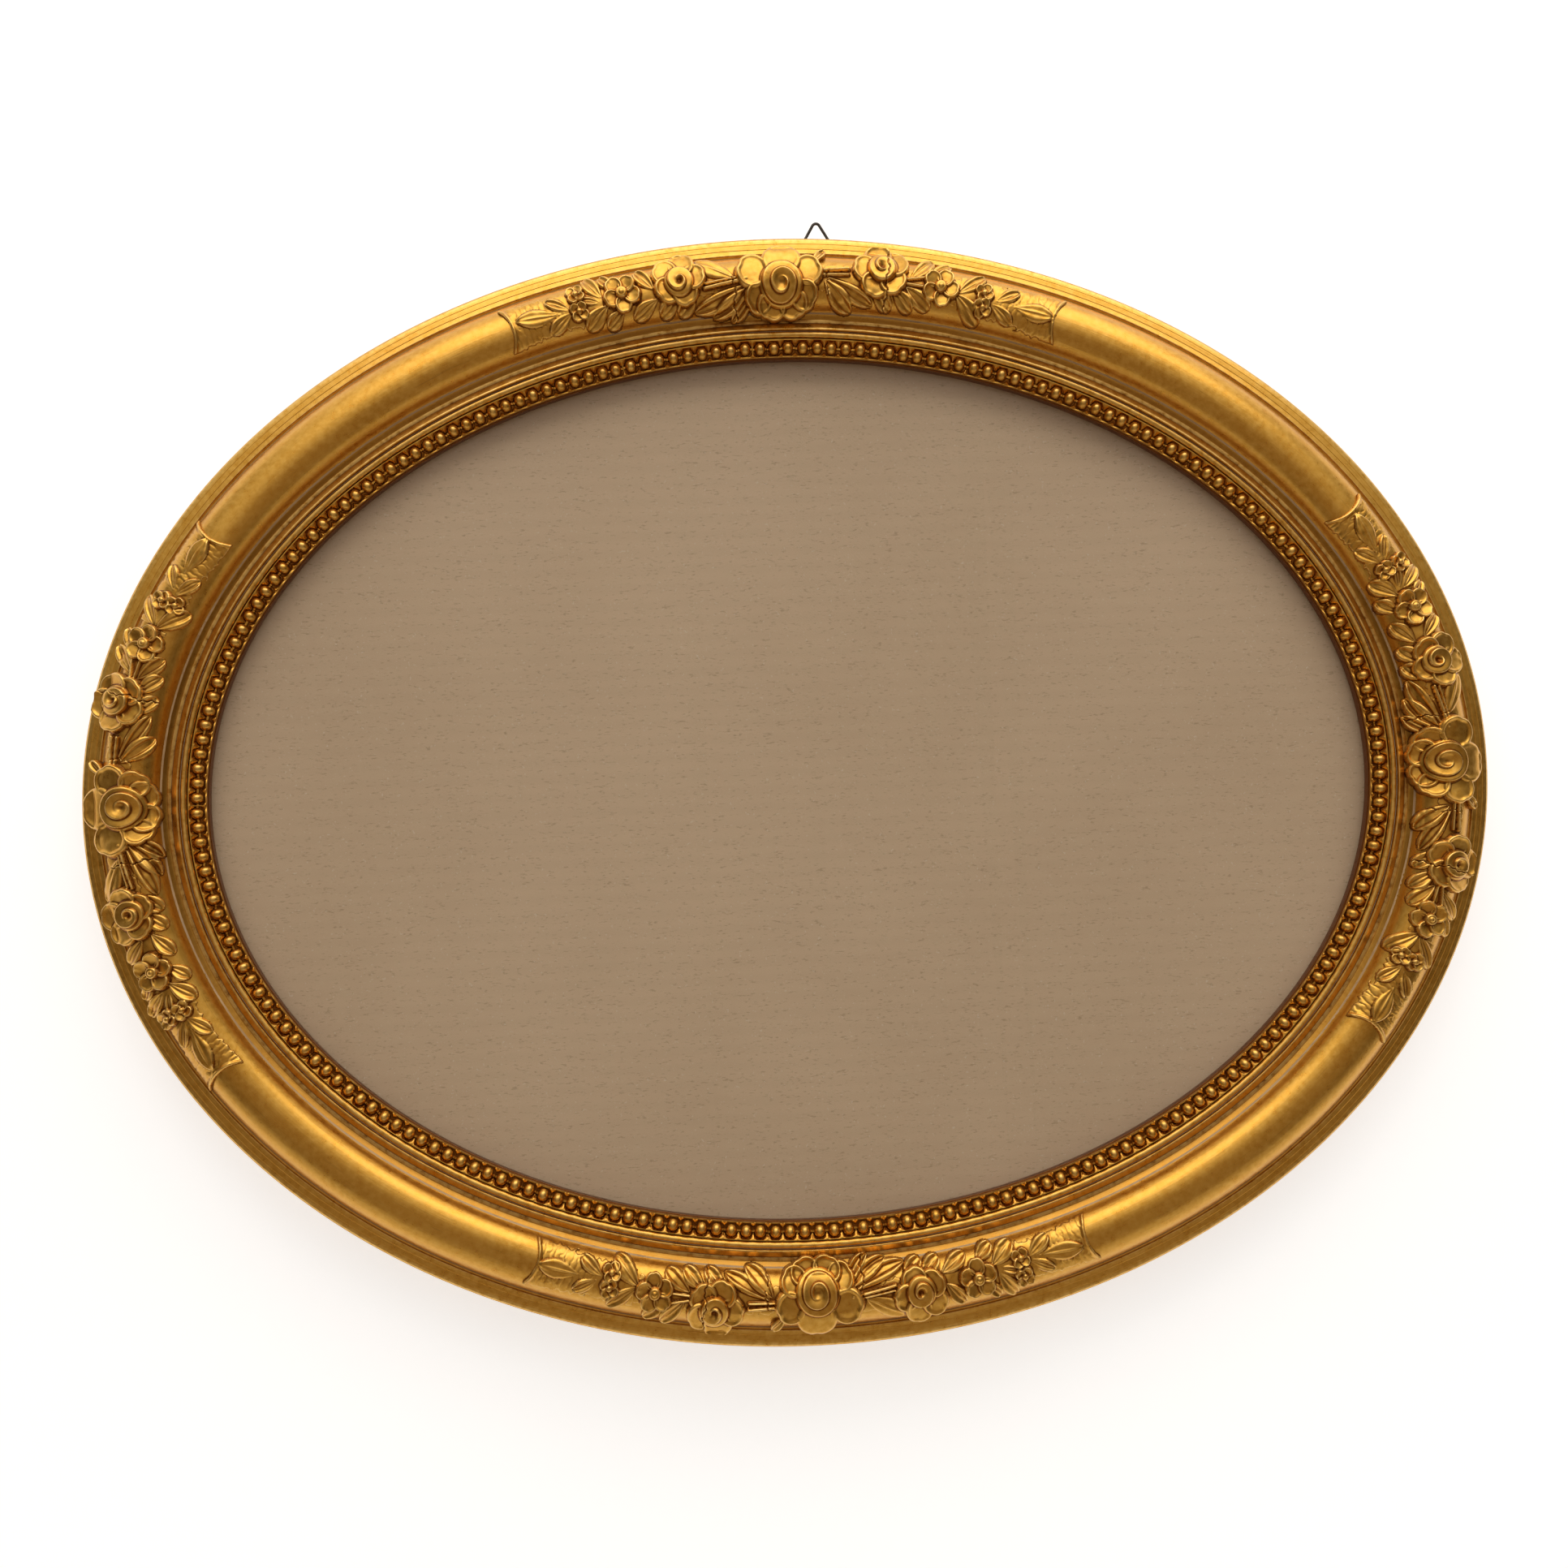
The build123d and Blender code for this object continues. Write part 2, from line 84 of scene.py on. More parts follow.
def set_range(node, low, high, to_low=0.0, to_high=1.0):
    """Lets a range node go softly from to_low to to_high as what comes in goes from low to high."""
    node.interpolation_type = "SMOOTHSTEP"
    node.inputs["From Min"].default_value = low
    node.inputs["From Max"].default_value = high
    node.inputs["To Min"].default_value = to_low
    node.inputs["To Max"].default_value = to_high


# The surrounding is bright overhead, darker and warmer towards the floor, and darker to both sides.
FLOOR_TINT, OVERHEAD_TINT = (0.32, 0.255, 0.200, 1), (1.05, 1.04, 1.02, 1)
world = bpy.data.worlds.new("surround")
bpy.context.scene.world = world
world.use_nodes = True
parts, links = world.node_tree.nodes, world.node_tree.links
parts.clear()
world_out = parts.new("ShaderNodeOutputWorld")
background = parts.new("ShaderNodeBackground")
direction = parts.new("ShaderNodeTexCoord")
split = parts.new("ShaderNodeSeparateXYZ")
rise = parts.new("ShaderNodeMapRange")
tint = parts.new("ShaderNodeMix")
sideways = parts.new("ShaderNodeMath")
dimming = parts.new("ShaderNodeMapRange")
set_range(rise, -0.10, 0.80)
tint.data_type = "RGBA"
tint.inputs[6].default_value = FLOOR_TINT
tint.inputs[7].default_value = OVERHEAD_TINT
sideways.operation = "ABSOLUTE"
set_range(dimming, 0.35, 0.95, 1.0, 0.3)
links.new(direction.outputs["Generated"], split.inputs[0])
links.new(split.outputs["Z"], rise.inputs["Value"])
links.new(rise.outputs["Result"], tint.inputs[0])
links.new(tint.outputs[2], background.inputs["Color"])
links.new(split.outputs["X"], sideways.inputs[0])
links.new(sideways.outputs[0], dimming.inputs["Value"])
links.new(dimming.outputs["Result"], background.inputs["Strength"])
links.new(background.outputs[0], world_out.inputs[0])

bpy.context.scene.view_settings.view_transform = "Standard"

# Rim: wood under the gesso
# Eight lengths of pale wood, sawn to the curve and glued end to end, with beech dowels across the joints.
# Gesso covers the front. The bare wood shows on the back and in the rebate that holds glass and board.

# Every member of the frame runs parallel to its outer edge, an ellipse 570 by 449 mm. Places are told in
# millimetres by the distance clockwise from the top along the crest line of the big round, the distance in
# from the edge, and the height off the flat back.
HALF_WIDTH, HALF_HEIGHT = 285.0, 224.5
BACK_Y = -1.45
CREST_INSET = 22.5
turns = np.linspace(0, 2 * np.pi, 14401)
edge_x, edge_z = HALF_WIDTH * np.sin(turns), HALF_HEIGHT * np.cos(turns)
inward_x, inward_z = -HALF_HEIGHT * np.sin(turns), -HALF_WIDTH * np.cos(turns)
inward_length = np.hypot(inward_x, inward_z)
inward_x, inward_z = inward_x / inward_length, inward_z / inward_length


def line_lengths(inset):
    """Distance round the line at this inset, at each of the turns."""
    line_x, line_z = edge_x + inward_x * inset, edge_z + inward_z * inset
    return np.concatenate([[0], np.cumsum(np.hypot(np.diff(line_x), np.diff(line_z)))])


crest_lengths = line_lengths(CREST_INSET)
PERIMETER = crest_lengths[-1]


def on_oval(along, inset, height, lengths=crest_lengths):
    """Points in metres for arrays of places on the frame."""
    turn = np.interp(np.mod(along, lengths[-1]), lengths, turns)
    in_x, in_z = -HALF_HEIGHT * np.sin(turn), -HALF_WIDTH * np.cos(turn)
    in_length = np.hypot(in_x, in_z)
    x = OVAL_X + HALF_WIDTH * np.sin(turn) + in_x / in_length * inset
    z = OVAL_Z + HALF_HEIGHT * np.cos(turn) + in_z / in_length * inset
    y = np.broadcast_to(BACK_Y - height, x.shape)
    return np.stack([x, y, z], axis=-1) * MM


def grid_faces(rows, columns, wrap=False):
    """Quads of a grid of points, row by row; wrap joins the last row to the first."""
    count = rows if wrap else rows - 1
    row, column = np.meshgrid(np.arange(count), np.arange(columns - 1), indexing="ij")
    a = row * columns + column
    b = (row + 1) % rows * columns + column
    return np.stack([a, a + 1, b + 1, b], axis=-1).reshape(-1, 4)


def new_piece(name, points, faces, material, smooth=True, sharp=None):
    """A mesh piece from points in metres; edges that turn by more than sharp degrees stay sharp."""
    mesh = bpy.data.meshes.new(name)
    points = np.asarray(points, dtype=np.float32)
    faces = np.asarray(faces, dtype=np.int32)
    mesh.vertices.add(len(points))
    mesh.vertices.foreach_set("co", points.ravel())
    mesh.loops.add(faces.size)
    mesh.loops.foreach_set("vertex_index", faces.ravel())
    mesh.polygons.add(len(faces))
    mesh.polygons.foreach_set("loop_start", np.arange(0, faces.size, faces.shape[1], dtype=np.int32))
    mesh.update(calc_edges=True)
    mesh.validate()
    if smooth:
        mesh.shade_smooth()
        if sharp:
            mesh.set_sharp_from_angle(angle=math.radians(sharp))
    piece = bpy.data.objects.new(name, mesh)
    bpy.context.collection.objects.link(piece)
    mesh.materials.append(material)
    return piece


class Finish:
    """One finish of the frame. Its short calls each add a step to the material and give its output."""

    def __init__(self, name):
        self.material = bpy.data.materials.new(name)
        self.material.use_nodes = True
        self.tree = self.material.node_tree
        self.shader = self.tree.nodes["Principled BSDF"]
        self.out = self.tree.nodes["Material Output"]

    def node(self, kind):
        return self.tree.nodes.new("ShaderNode" + kind)

    def link(self, source, target):
        self.tree.links.new(source, target)

    def fill(self, socket, value):
        """Links an output to the socket, or writes a number or a colour on it."""
        if hasattr(value, "links"):
            self.link(value, socket)
        elif isinstance(value, tuple):
            socket.default_value = (*value, 1.0)
        else:
            socket.default_value = value

    def attribute(self, name):
        node = self.node("Attribute")
        node.attribute_name = name
        return node.outputs["Fac"]

    def stretch(self, vector, scale):
        node = self.node("Mapping")
        node.inputs["Scale"].default_value = scale
        self.link(vector, node.inputs["Vector"])
        return node.outputs["Vector"]

    def place(self, scale=(1, 1, 1)):
        """Texture place in metres, in the frame's own directions."""
        return self.stretch(self.node("TexCoord").outputs["Object"], scale)

    def turned_place(self, turn):
        """Texture place turned about the depth of the frame, so that its first direction is a length's."""
        node = self.node("Mapping")
        node.vector_type = "TEXTURE"
        node.inputs["Rotation"].default_value = (0, turn, 0)
        self.link(self.node("TexCoord").outputs["Object"], node.inputs["Vector"])
        return node.outputs["Vector"]

    def sweep(self, along, across):
        """Texture place from the distance along and across the moulding, in metres."""
        node = self.node("CombineXYZ")
        self.link(self.maths("MULTIPLY", self.attribute("along"), along), node.inputs[0])
        self.link(self.maths("MULTIPLY", self.attribute("across"), across), node.inputs[1])
        return node.outputs[0]

    def noise(self, vector, scale, detail, rough, distortion=0.0):
        node = self.node("TexNoise")
        node.inputs["Scale"].default_value = scale
        node.inputs["Detail"].default_value = detail
        node.inputs["Roughness"].default_value = rough
        node.inputs["Distortion"].default_value = distortion
        self.link(vector, node.inputs["Vector"])
        return node.outputs["Fac"]

    def maths(self, operation, a, b, clamp=False):
        node = self.node("Math")
        node.operation, node.use_clamp = operation, clamp
        self.fill(node.inputs[0], a)
        self.fill(node.inputs[1], b)
        return node.outputs[0]

    def step(self, value, low, high, to_low=0.0, to_high=1.0):
        """Goes softly from to_low to to_high as the value goes from low to high."""
        node = self.node("MapRange")
        set_range(node, low, high, to_low, to_high)
        self.link(value, node.inputs["Value"])
        return node.outputs["Result"]

    def blend(self, factor, a, b):
        """Colour a where the factor is 0, b where it is 1."""
        node = self.node("Mix")
        node.data_type = "RGBA"
        self.fill(node.inputs[0], factor)
        self.fill(node.inputs[6], a)
        self.fill(node.inputs[7], b)
        return node.outputs[2]

    def bump(self, height, depth, strength):
        node = self.node("Bump")
        node.inputs["Distance"].default_value = depth
        node.inputs["Strength"].default_value = strength
        self.link(height, node.inputs["Height"])
        self.link(node.outputs["Normal"], self.shader.inputs["Normal"])

    def surface(self, base, roughness, specular=0.5, metallic=0.0):
        """Colour and sheen of the surface, each a number, a colour or an output."""
        self.fill(self.shader.inputs["Base Color"], base)
        self.fill(self.shader.inputs["Roughness"], roughness)
        self.fill(self.shader.inputs["Specular IOR Level"], specular)
        self.fill(self.shader.inputs["Metallic"], metallic)


def make_rim_finish(name, turn):
    """Pale wood. The grain runs straight through each length, so its direction is the length's own."""
    late_wood, early_wood = (0.47, 0.29, 0.135), (0.62, 0.41, 0.21)
    dark_fibre, old_dust = (0.30, 0.165, 0.07), (0.36, 0.27, 0.18)
    finish = Finish(name)
    grain_place = finish.turned_place(turn)
    rings = finish.noise(finish.stretch(grain_place, (7.0, 90.0, 90.0)), 1.0, 4.0, 0.55, 0.6)
    fibre = finish.noise(finish.stretch(grain_place, (40.0, 1400.0, 1400.0)), 1.0, 3.0, 0.6)
    dust = finish.noise(finish.place(), 35.0, 4.0, 0.6)
    wood = finish.blend(finish.step(rings, 0.3, 0.7), late_wood, early_wood)
    wood = finish.blend(finish.step(fibre, 0.45, 0.72, 0.0, 0.55), wood, dark_fibre)
    wood = finish.blend(finish.step(dust, 0.5, 0.75, 0.0, 0.45), wood, old_dust)
    finish.surface(wood, finish.step(fibre, 0.3, 0.7, 0.72, 0.86), specular=0.3)
    finish.bump(fibre, 0.00012, 0.6)
    return finish.material


# Inset and height round the wood, a little under the gesso: outer wall, front, sight lip, rebate and back
RIM_SECTION = [
    (0.25, 0.0), (0.25, 9.3), (7.5, 10.6), (12.0, 16.0), (17.0, 21.5), (22.5, 23.4), (27.0, 22.2),
    (31.0, 17.6), (34.6, 13.7), (39.0, 15.5), (42.2, 14.4), (42.2, 11.3), (50.2, 11.3), (50.2, 6.6),
    (43.9, 6.6), (43.9, 0.0), (40.0, 0.0), (30.0, 0.0), (20.0, 0.0), (10.0, 0.0), (0.25, 0.0),
]
HALF_GLUE_LINE = 0.06
PLACES_A_LENGTH = 70


def make_rim_length(name, start, stop, turn):
    """One length of the rim's bare wood, from one joint to the next."""
    section = np.array(RIM_SECTION)
    run = np.linspace(start + HALF_GLUE_LINE, stop - HALF_GLUE_LINE, PLACES_A_LENGTH)
    along, inset = np.meshgrid(run, section[:, 0], indexing="ij")
    points = on_oval(along, inset, np.broadcast_to(section[:, 1], along.shape)).reshape(-1, 3)
    faces = grid_faces(len(run), len(section))
    piece = new_piece("wood_" + name, points, faces, make_rim_finish("wood_" + name, turn), sharp=30)
    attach(piece, "frame")
    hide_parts(name)


# Each quarter of the oval has two joints, at the same places. These are told at the outer edge, by how far
# they lie right of the oval's middle and above it.
joint_right, joint_up = np.array([106.6, 261.8]), np.array([208.5, 88.4])
first, second = np.arctan2(joint_right / HALF_WIDTH, joint_up / HALF_HEIGHT)
joint_turns = [first, second, np.pi - second, np.pi - first,
               np.pi + first, np.pi + second, 2 * np.pi - second, 2 * np.pi - first]
joints_along = np.interp(joint_turns, turns, crest_lengths)
rim_names = ["top", "top_right", "right", "bottom_right", "bottom", "bottom_left", "left", "top_left"]
for number, name in enumerate(rim_names):
    start = joints_along[number - 1] - (PERIMETER if number == 0 else 0)
    stop = joints_along[number]
    heading = np.interp((start + stop) / 2 % PERIMETER, crest_lengths, turns)
    slope = math.atan2(-HALF_HEIGHT * math.sin(heading), HALF_WIDTH * math.cos(heading))
    make_rim_length("rim_" + name, start, stop, -slope)


def repaint(name, material):
    """Gives a CAD piece, whose shape is kept, its finish."""
    nodes[name].data.materials.clear()
    nodes[name].data.materials.append(material)


DARK_BEECH, PALE_BEECH = (0.55, 0.36, 0.20), (0.68, 0.48, 0.29)
beech = Finish("dowel_beech")
grain = beech.noise(beech.place((900.0, 900.0, 900.0)), 1.0, 3.0, 0.6)
beech.surface(beech.blend(beech.step(grain, 0.3, 0.7), DARK_BEECH, PALE_BEECH), 0.8)
repaint("joint_dowels", beech.material)

# Moulding: gesso and gilding
# One continuous skin of gesso, gilded, over the glued rim, from the foot of its outer wall over the front
# to the sight edge. Its members are turned in the wood; the skin softens their edges.


def give(piece, name, values):
    """A number for each point of a piece, for its material to read."""
    layer = piece.data.attributes.new(name, "FLOAT", "POINT")
    layer.data.foreach_set("value", np.asarray(values, dtype=np.float32).ravel())


def make_gilding(name, streaked):
    """Gilding with fine grain: a painted highlight, with rubbed wear, on what stands out, and painted
    shade, with orange-brown toning, in what lies deep.
    """
    warm_gold, clear_gold, pale_gold = (0.60, 0.285, 0.036), (0.67, 0.335, 0.050), (0.73, 0.395, 0.074)
    shade_and_toning_brown, wear_and_highlight_gold = (0.20, 0.062, 0.007), (0.90, 0.60, 0.20)
    dull_streak, dark_scratch = (0.36, 0.17, 0.035), (0.27, 0.13, 0.03)
    finish = Finish(name)
    place = finish.place()
    shade_and_toning, wear_and_highlight = finish.attribute("shade_and_toning"), finish.attribute("wear_and_highlight")
    cloud = finish.noise(place, 26.0, 4.0, 0.55)
    fine = finish.noise(place, 420.0, 4.0, 0.6)
    grain = finish.noise(place, 2600.0, 2.0, 0.5)
    gold = finish.blend(finish.step(cloud, 0.35, 0.68), warm_gold, clear_gold)
    gold = finish.blend(finish.step(fine, 0.30, 0.75), gold, pale_gold)
    patches = finish.maths("MULTIPLY", finish.maths("SUBTRACT", cloud, 0.5), 0.35)
    # Painted shade, with brown toning, darkens the gold in what lies deep, with random patches of toning.
    deep = finish.maths("ADD", shade_and_toning, patches, clamp=True)
    gold = finish.blend(finish.step(deep, 0.10, 0.80), gold, shade_and_toning_brown)
    # Painted highlight, with rubbed wear, brightens the gold on what stands out.
    bright = finish.maths("MULTIPLY", wear_and_highlight, finish.step(fine, 0.25, 0.6))
    gold = finish.blend(finish.maths("MULTIPLY", bright, 0.75), gold, wear_and_highlight_gold)
    height = finish.maths("ADD", finish.maths("MULTIPLY", fine, 0.7), finish.maths("MULTIPLY", grain, 0.3))
    if streaked:
        streak = finish.noise(finish.sweep(26.0, 700.0), 1.0, 5.0, 0.6)
        scratch = finish.noise(finish.sweep(55.0, 2600.0), 1.0, 3.0, 0.6)
        gold = finish.blend(finish.step(streak, 0.60, 0.74, 0.0, 0.42), gold, dull_streak)
        gold = finish.blend(finish.step(scratch, 0.62, 0.72, 0.0, 0.35), gold, dark_scratch)
        height = finish.maths("ADD", height, finish.maths("MULTIPLY", scratch, -0.7))
        height = finish.maths("ADD", height, finish.maths("MULTIPLY", streak, 0.8))
    finish.surface(gold, finish.step(fine, 0.2, 0.8, 0.26, 0.35), metallic=0.94)
    finish.bump(height, 0.00010, 0.55)
    return finish.material


def arc_points(inset, height, radius, start, stop, count):
    """Points of an arc in the profile about a middle, between two angles in degrees."""
    return [(inset + radius * math.cos(math.radians(a)), height + radius * math.sin(math.radians(a)))
            for a in np.linspace(start, stop, count)]


def soften(points, radius):
    """Rounds each corner of a profile that turns by more than a few degrees."""
    sharp_turn, steps = 14.0, 4
    softened = [points[0]]
    for before, here, after in zip(points, points[1:], points[2:]):
        a, b = np.subtract(before, here), np.subtract(after, here)
        length_a, length_b = np.hypot(*a), np.hypot(*b)
        turn = 180 - math.degrees(math.acos(np.clip(np.dot(a, b) / (length_a * length_b), -1, 1)))
        if turn < sharp_turn:
            softened.append(here)
            continue
        cut = min(radius, length_a * 0.45, length_b * 0.45)
        first, last = here + a / length_a * cut, here + b / length_b * cut
        for t in np.linspace(0, 1, steps):
            softened.append(tuple((1 - t) ** 2 * first + 2 * t * (1 - t) * np.array(here) + t ** 2 * last))
    return softened + [points[-1]]


# The big round is two arcs that meet at its crest. From its shoulder a cove runs down to the valley, and
# leaves the shoulder squarely. The quirk is a groove outside the round, the astragal a roll inside it.
CREST_HEIGHT = 24.0
OUTER_WIDTH, OUTER_RISE = 14.0, 12.4
INNER_WIDTH, INNER_RISE = 8.6, 5.8
SHOULDER, VALLEY = np.array([31.1, 18.2]), np.array([34.8, 14.2])
QUIRK_INSET, QUIRK_HEIGHT, QUIRK_RADIUS = 7.85, 11.95, 0.82
ASTRAGAL_INSET, ASTRAGAL_HEIGHT, ASTRAGAL_RADIUS = 41.1, 14.6555, 1.3445
SOFT_CORNER = 0.16
outer_radius = (OUTER_WIDTH ** 2 + OUTER_RISE ** 2) / (2 * OUTER_RISE)
inner_radius = (INNER_WIDTH ** 2 + INNER_RISE ** 2) / (2 * INNER_RISE)
foot_angle = math.degrees(math.atan2(outer_radius - OUTER_RISE, -OUTER_WIDTH))
shoulder_angle = math.degrees(math.atan2(inner_radius - INNER_RISE, INNER_WIDTH))
outward = np.array([math.cos(math.radians(shoulder_angle)), math.sin(math.radians(shoulder_angle))])
chord = VALLEY - SHOULDER
cove_radius = chord @ chord / (2 * chord @ outward)
cove_inset, cove_height = SHOULDER + outward * cove_radius
cove_stop = math.degrees(math.atan2(VALLEY[1] - cove_height, VALLEY[0] - cove_inset)) % 360

# Wall, band and quirk, then the big round, the cove, the step and ridge, the astragal and the channel
profile = [(0.0, 0.0), (0.0, 4.7), (0.0, 9.5), (0.8, 10.3), (2.6, 10.95), (2.75, 10.9), (4.9, 11.62),
           (5.05, 11.5), (6.8, 12.2), (7.2, 12.2)]
profile += arc_points(QUIRK_INSET, QUIRK_HEIGHT, QUIRK_RADIUS, 200, 320, 6)
profile += arc_points(CREST_INSET, CREST_HEIGHT - outer_radius, outer_radius, foot_angle, 90, 22)
profile += arc_points(CREST_INSET, CREST_HEIGHT - inner_radius, inner_radius, 90, shoulder_angle, 14)[1:]
profile += arc_points(cove_inset, cove_height, cove_radius, shoulder_angle + 180, cove_stop, 8)[1:]
profile += [(34.8, 14.6), (36.4, 14.6), (36.4, 14.2), (36.65, 15.3), (38.7, 16.45), (39.25, 16.55),
            (39.8, 15.0)]
profile += arc_points(ASTRAGAL_INSET, ASTRAGAL_HEIGHT, ASTRAGAL_RADIUS, 165, 15, 8)
profile += [(42.4, 15.0), (42.4, 11.7), (50.4, 11.6), (50.4, 6.6)]
profile = np.array(soften(profile, SOFT_CORNER))
inset, height = profile[:, 0], profile[:, 1]


def soft_lines(lines):
    """Sum of soft lines across the profile, each told by its inset, its strength and its half width."""
    return sum(strength * np.exp(-((inset - at) / half) ** 2) for at, strength, half in lines)


# Painted shade, with brown toning, darkens what lies deep on the profile, and a painted highlight, with
# rubbed wear, brightens what stands out.
shade_and_toning = soft_lines([(7.9, 0.15, 0.7), (33.8, 0.45, 2.2), (36.4, 0.75, 0.25), (39.85, 0.85, 0.35)])
shade_and_toning = shade_and_toning + 0.9 * ((inset > 42.35) & (height < 14.6)) + 0.35 * (inset < 0.4)
wear_and_highlight = soft_lines([(7.1, 0.9, 0.3), (36.3, 0.8, 0.2), (38.95, 1.0, 0.4), (41.1, 0.7, 0.7), (0.7, 0.8, 0.5)])
wear_and_highlight = wear_and_highlight + soft_lines([(34.85, 0.9, 0.22)]) * (height > 14.5)

STATIONS = 900
WAVE_LENGTH, WAVE_HEIGHT, WAVES = 60, 0.12, 6
along = np.arange(STATIONS) * PERIMETER / STATIONS
along_grid, inset_grid = np.meshgrid(along, inset, indexing="ij")

# A slow closed wave round the big round, for hand-laid gesso that is never quite even
rng = np.random.default_rng(4)
wave = np.zeros(STATIONS)
most_waves = int(PERIMETER / WAVE_LENGTH)
for count in rng.integers(most_waves // 2 + 1, most_waves + 2, WAVES):
    wave += np.sin(2 * np.pi * (count * along / PERIMETER + rng.random()))
wave = wave * WAVE_HEIGHT / WAVES
on_round = np.clip((inset - 9) / 3, 0, 1) * np.clip((33 - inset) / 3, 0, 1)

points = on_oval(along_grid, inset_grid, height + wave[:, None] * on_round)
faces = grid_faces(STATIONS, len(inset), wrap=True)
gilding = make_gilding("gilding_moulding", True)
moulding = new_piece("moulding_gilding", points.reshape(-1, 3), faces, gilding, sharp=50)
profile_run = np.concatenate([[0], np.cumsum(np.hypot(np.diff(inset), np.diff(height)))])
give(moulding, "shade_and_toning", np.broadcast_to(shade_and_toning, along_grid.shape))
give(moulding, "wear_and_highlight", np.broadcast_to(wear_and_highlight, along_grid.shape))
give(moulding, "along", along_grid * MM)
give(moulding, "across", np.broadcast_to(profile_run, along_grid.shape) * MM)
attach(moulding, "frame")

# Bead strip
# Cast composition, laid in four lengths in the channel at the sight edge, and gilded. Each bead sits in a
# cradle. Between one bead and the next stand a flare, at the outer side, and a small dart, at the inner.
CHANNEL_INSET, CHANNEL_FLOOR = 42.4, 11.6
STRIP_START, STRIP_STOP = 0.12, 7.75
BEADS_A_LENGTH = 56
BEAD_MIDDLE, HALF_PITCH = 3.95, 2.95
PLACES_A_BEAD, PLACES_ACROSS = 28, 38


def bead_height(p, q):
    """Height over the channel's floor, p along from a bead's middle and q in from the channel's edge."""
    half_long, half_wide, foot, rise = 2.25, 2.62, 1.5, 3.45
    out = np.hypot(p / half_long, (q - BEAD_MIDDLE) / half_wide)
    bead = np.where(out < 1, foot + rise * np.sqrt(np.clip(1 - out ** 2.1, 0, 1)), 0)
    from_middle = np.hypot(p, q - BEAD_MIDDLE)
    cradle = 0.85 * np.exp(-((from_middle - HALF_PITCH) / 0.22) ** 2) * np.clip((3.6 - q) / 0.8, 0, 1)
    from_gap = HALF_PITCH - np.abs(p)
    flare_half = np.clip((2.75 - q) / 2.3, 0, 1) * 1.9
    flare = 1.4 + 1.5 * np.clip((2.8 - q) / 1.8, 0, 1) - 0.25 * from_gap
    dart_half = np.clip((q - 5.3) / 1.4, 0, 1) * 1.35
    dart = 1.3 + 1.1 * np.clip(1 - from_gap / np.maximum(dart_half, 0.05), 0, 1)
    return np.maximum.reduce([
        0.9 + cradle,
        bead,
        np.where(from_gap < flare_half, flare, 0),
        np.where((from_gap < dart_half) & (q < 7.1), dart, 0),
        # Ledge at the outer side, scalloped lip at the sight, and a neck from bead to bead
        2.9 * np.clip((1.15 - q) / 0.35, 0, 1),
        np.where(q > 7.0, 1.75 + 0.35 * np.cos(p / HALF_PITCH * np.pi), 0),
        np.where(np.abs(q - BEAD_MIDDLE) < 0.5, 1.6, 0),
    ])


bead_lengths = line_lengths(CHANNEL_INSET + 4.0)
pitch = bead_lengths[-1] / (4 * BEADS_A_LENGTH)
gilding_beads = make_gilding("gilding_beads", False)
for quarter in range(4):
    count = BEADS_A_LENGTH * PLACES_A_BEAD + 1
    along = quarter * BEADS_A_LENGTH * pitch + np.linspace(0, BEADS_A_LENGTH * pitch, count)
    across = np.linspace(STRIP_START, STRIP_STOP, PLACES_ACROSS)
    along_grid, across = np.meshgrid(along, across, indexing="ij")
    bead_number = np.floor(along_grid / pitch + 1e-6)
    from_bead = along_grid - (bead_number + 0.5) * pitch
    # Each bead lies a little out of place and differs a little in height.
    rng = np.random.default_rng(30 + quarter)
    wobble = rng.normal(0, 1, (BEADS_A_LENGTH + 2, 3))
    index = (bead_number - quarter * BEADS_A_LENGTH).astype(int)
    p = (from_bead + wobble[index, 0] * 0.10) * HALF_PITCH * 2 / pitch
    q = across + wobble[index, 1] * 0.08
    relief = bead_height(p, q) * (1 + wobble[index, 2] * 0.012)
    relief = np.where((across < 0.2) | (across > 7.7), 0.05, relief)
    points = on_oval(along_grid, CHANNEL_INSET + across, CHANNEL_FLOOR + relief, bead_lengths)
    faces = grid_faces(count, PLACES_ACROSS)
    strip = new_piece(f"beads_{quarter + 1}", points.reshape(-1, 3), faces, gilding_beads, sharp=60)
    # Painted shade, with brown toning, darkens the low ground between the beads, and a painted highlight,
    # with rubbed wear, brightens their tops.
    give(strip, "shade_and_toning", 0.85 * np.clip((2.0 - relief) / 1.3, 0, 1))
    give(strip, "wear_and_highlight", np.clip(relief - 3.9, 0, 1) * 0.6)
    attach(strip, "frame")
    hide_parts(f"bead_strip_{quarter + 1}")

# Garlands
# Cast composition, pressed from one mould and glued round the big round at the four ends of the axes, then
# gilded: a large rose, a smaller rose and a small flower each side of it, leaves, stems and ribbed ends.

# The casting is drawn flat, in millimetres: X runs clockwise from the middle of the large rose, Y runs in
# from the crest line, and every shape is a height over what the casting lies on.
CELL = 0.27
LEFT_END, RIGHT_END, OUTER_SIDE, INNER_SIDE = -116.0, 117.5, -16.5, 15.5
FIELD_LENGTH, FIELD_WIDTH = 260, 40
flat_x, flat_y = np.arange(LEFT_END, RIGHT_END, CELL), np.arange(OUTER_SIDE, INNER_SIDE, CELL)
X, Y = np.meshgrid(flat_x, flat_y, indexing="ij")


def ease(low, high, value):
    """Goes softly from 0 to 1 as the value goes from low to high."""
    t = np.clip((value - low) / (high - low), 0, 1)
    return t * t * (3 - 2 * t)


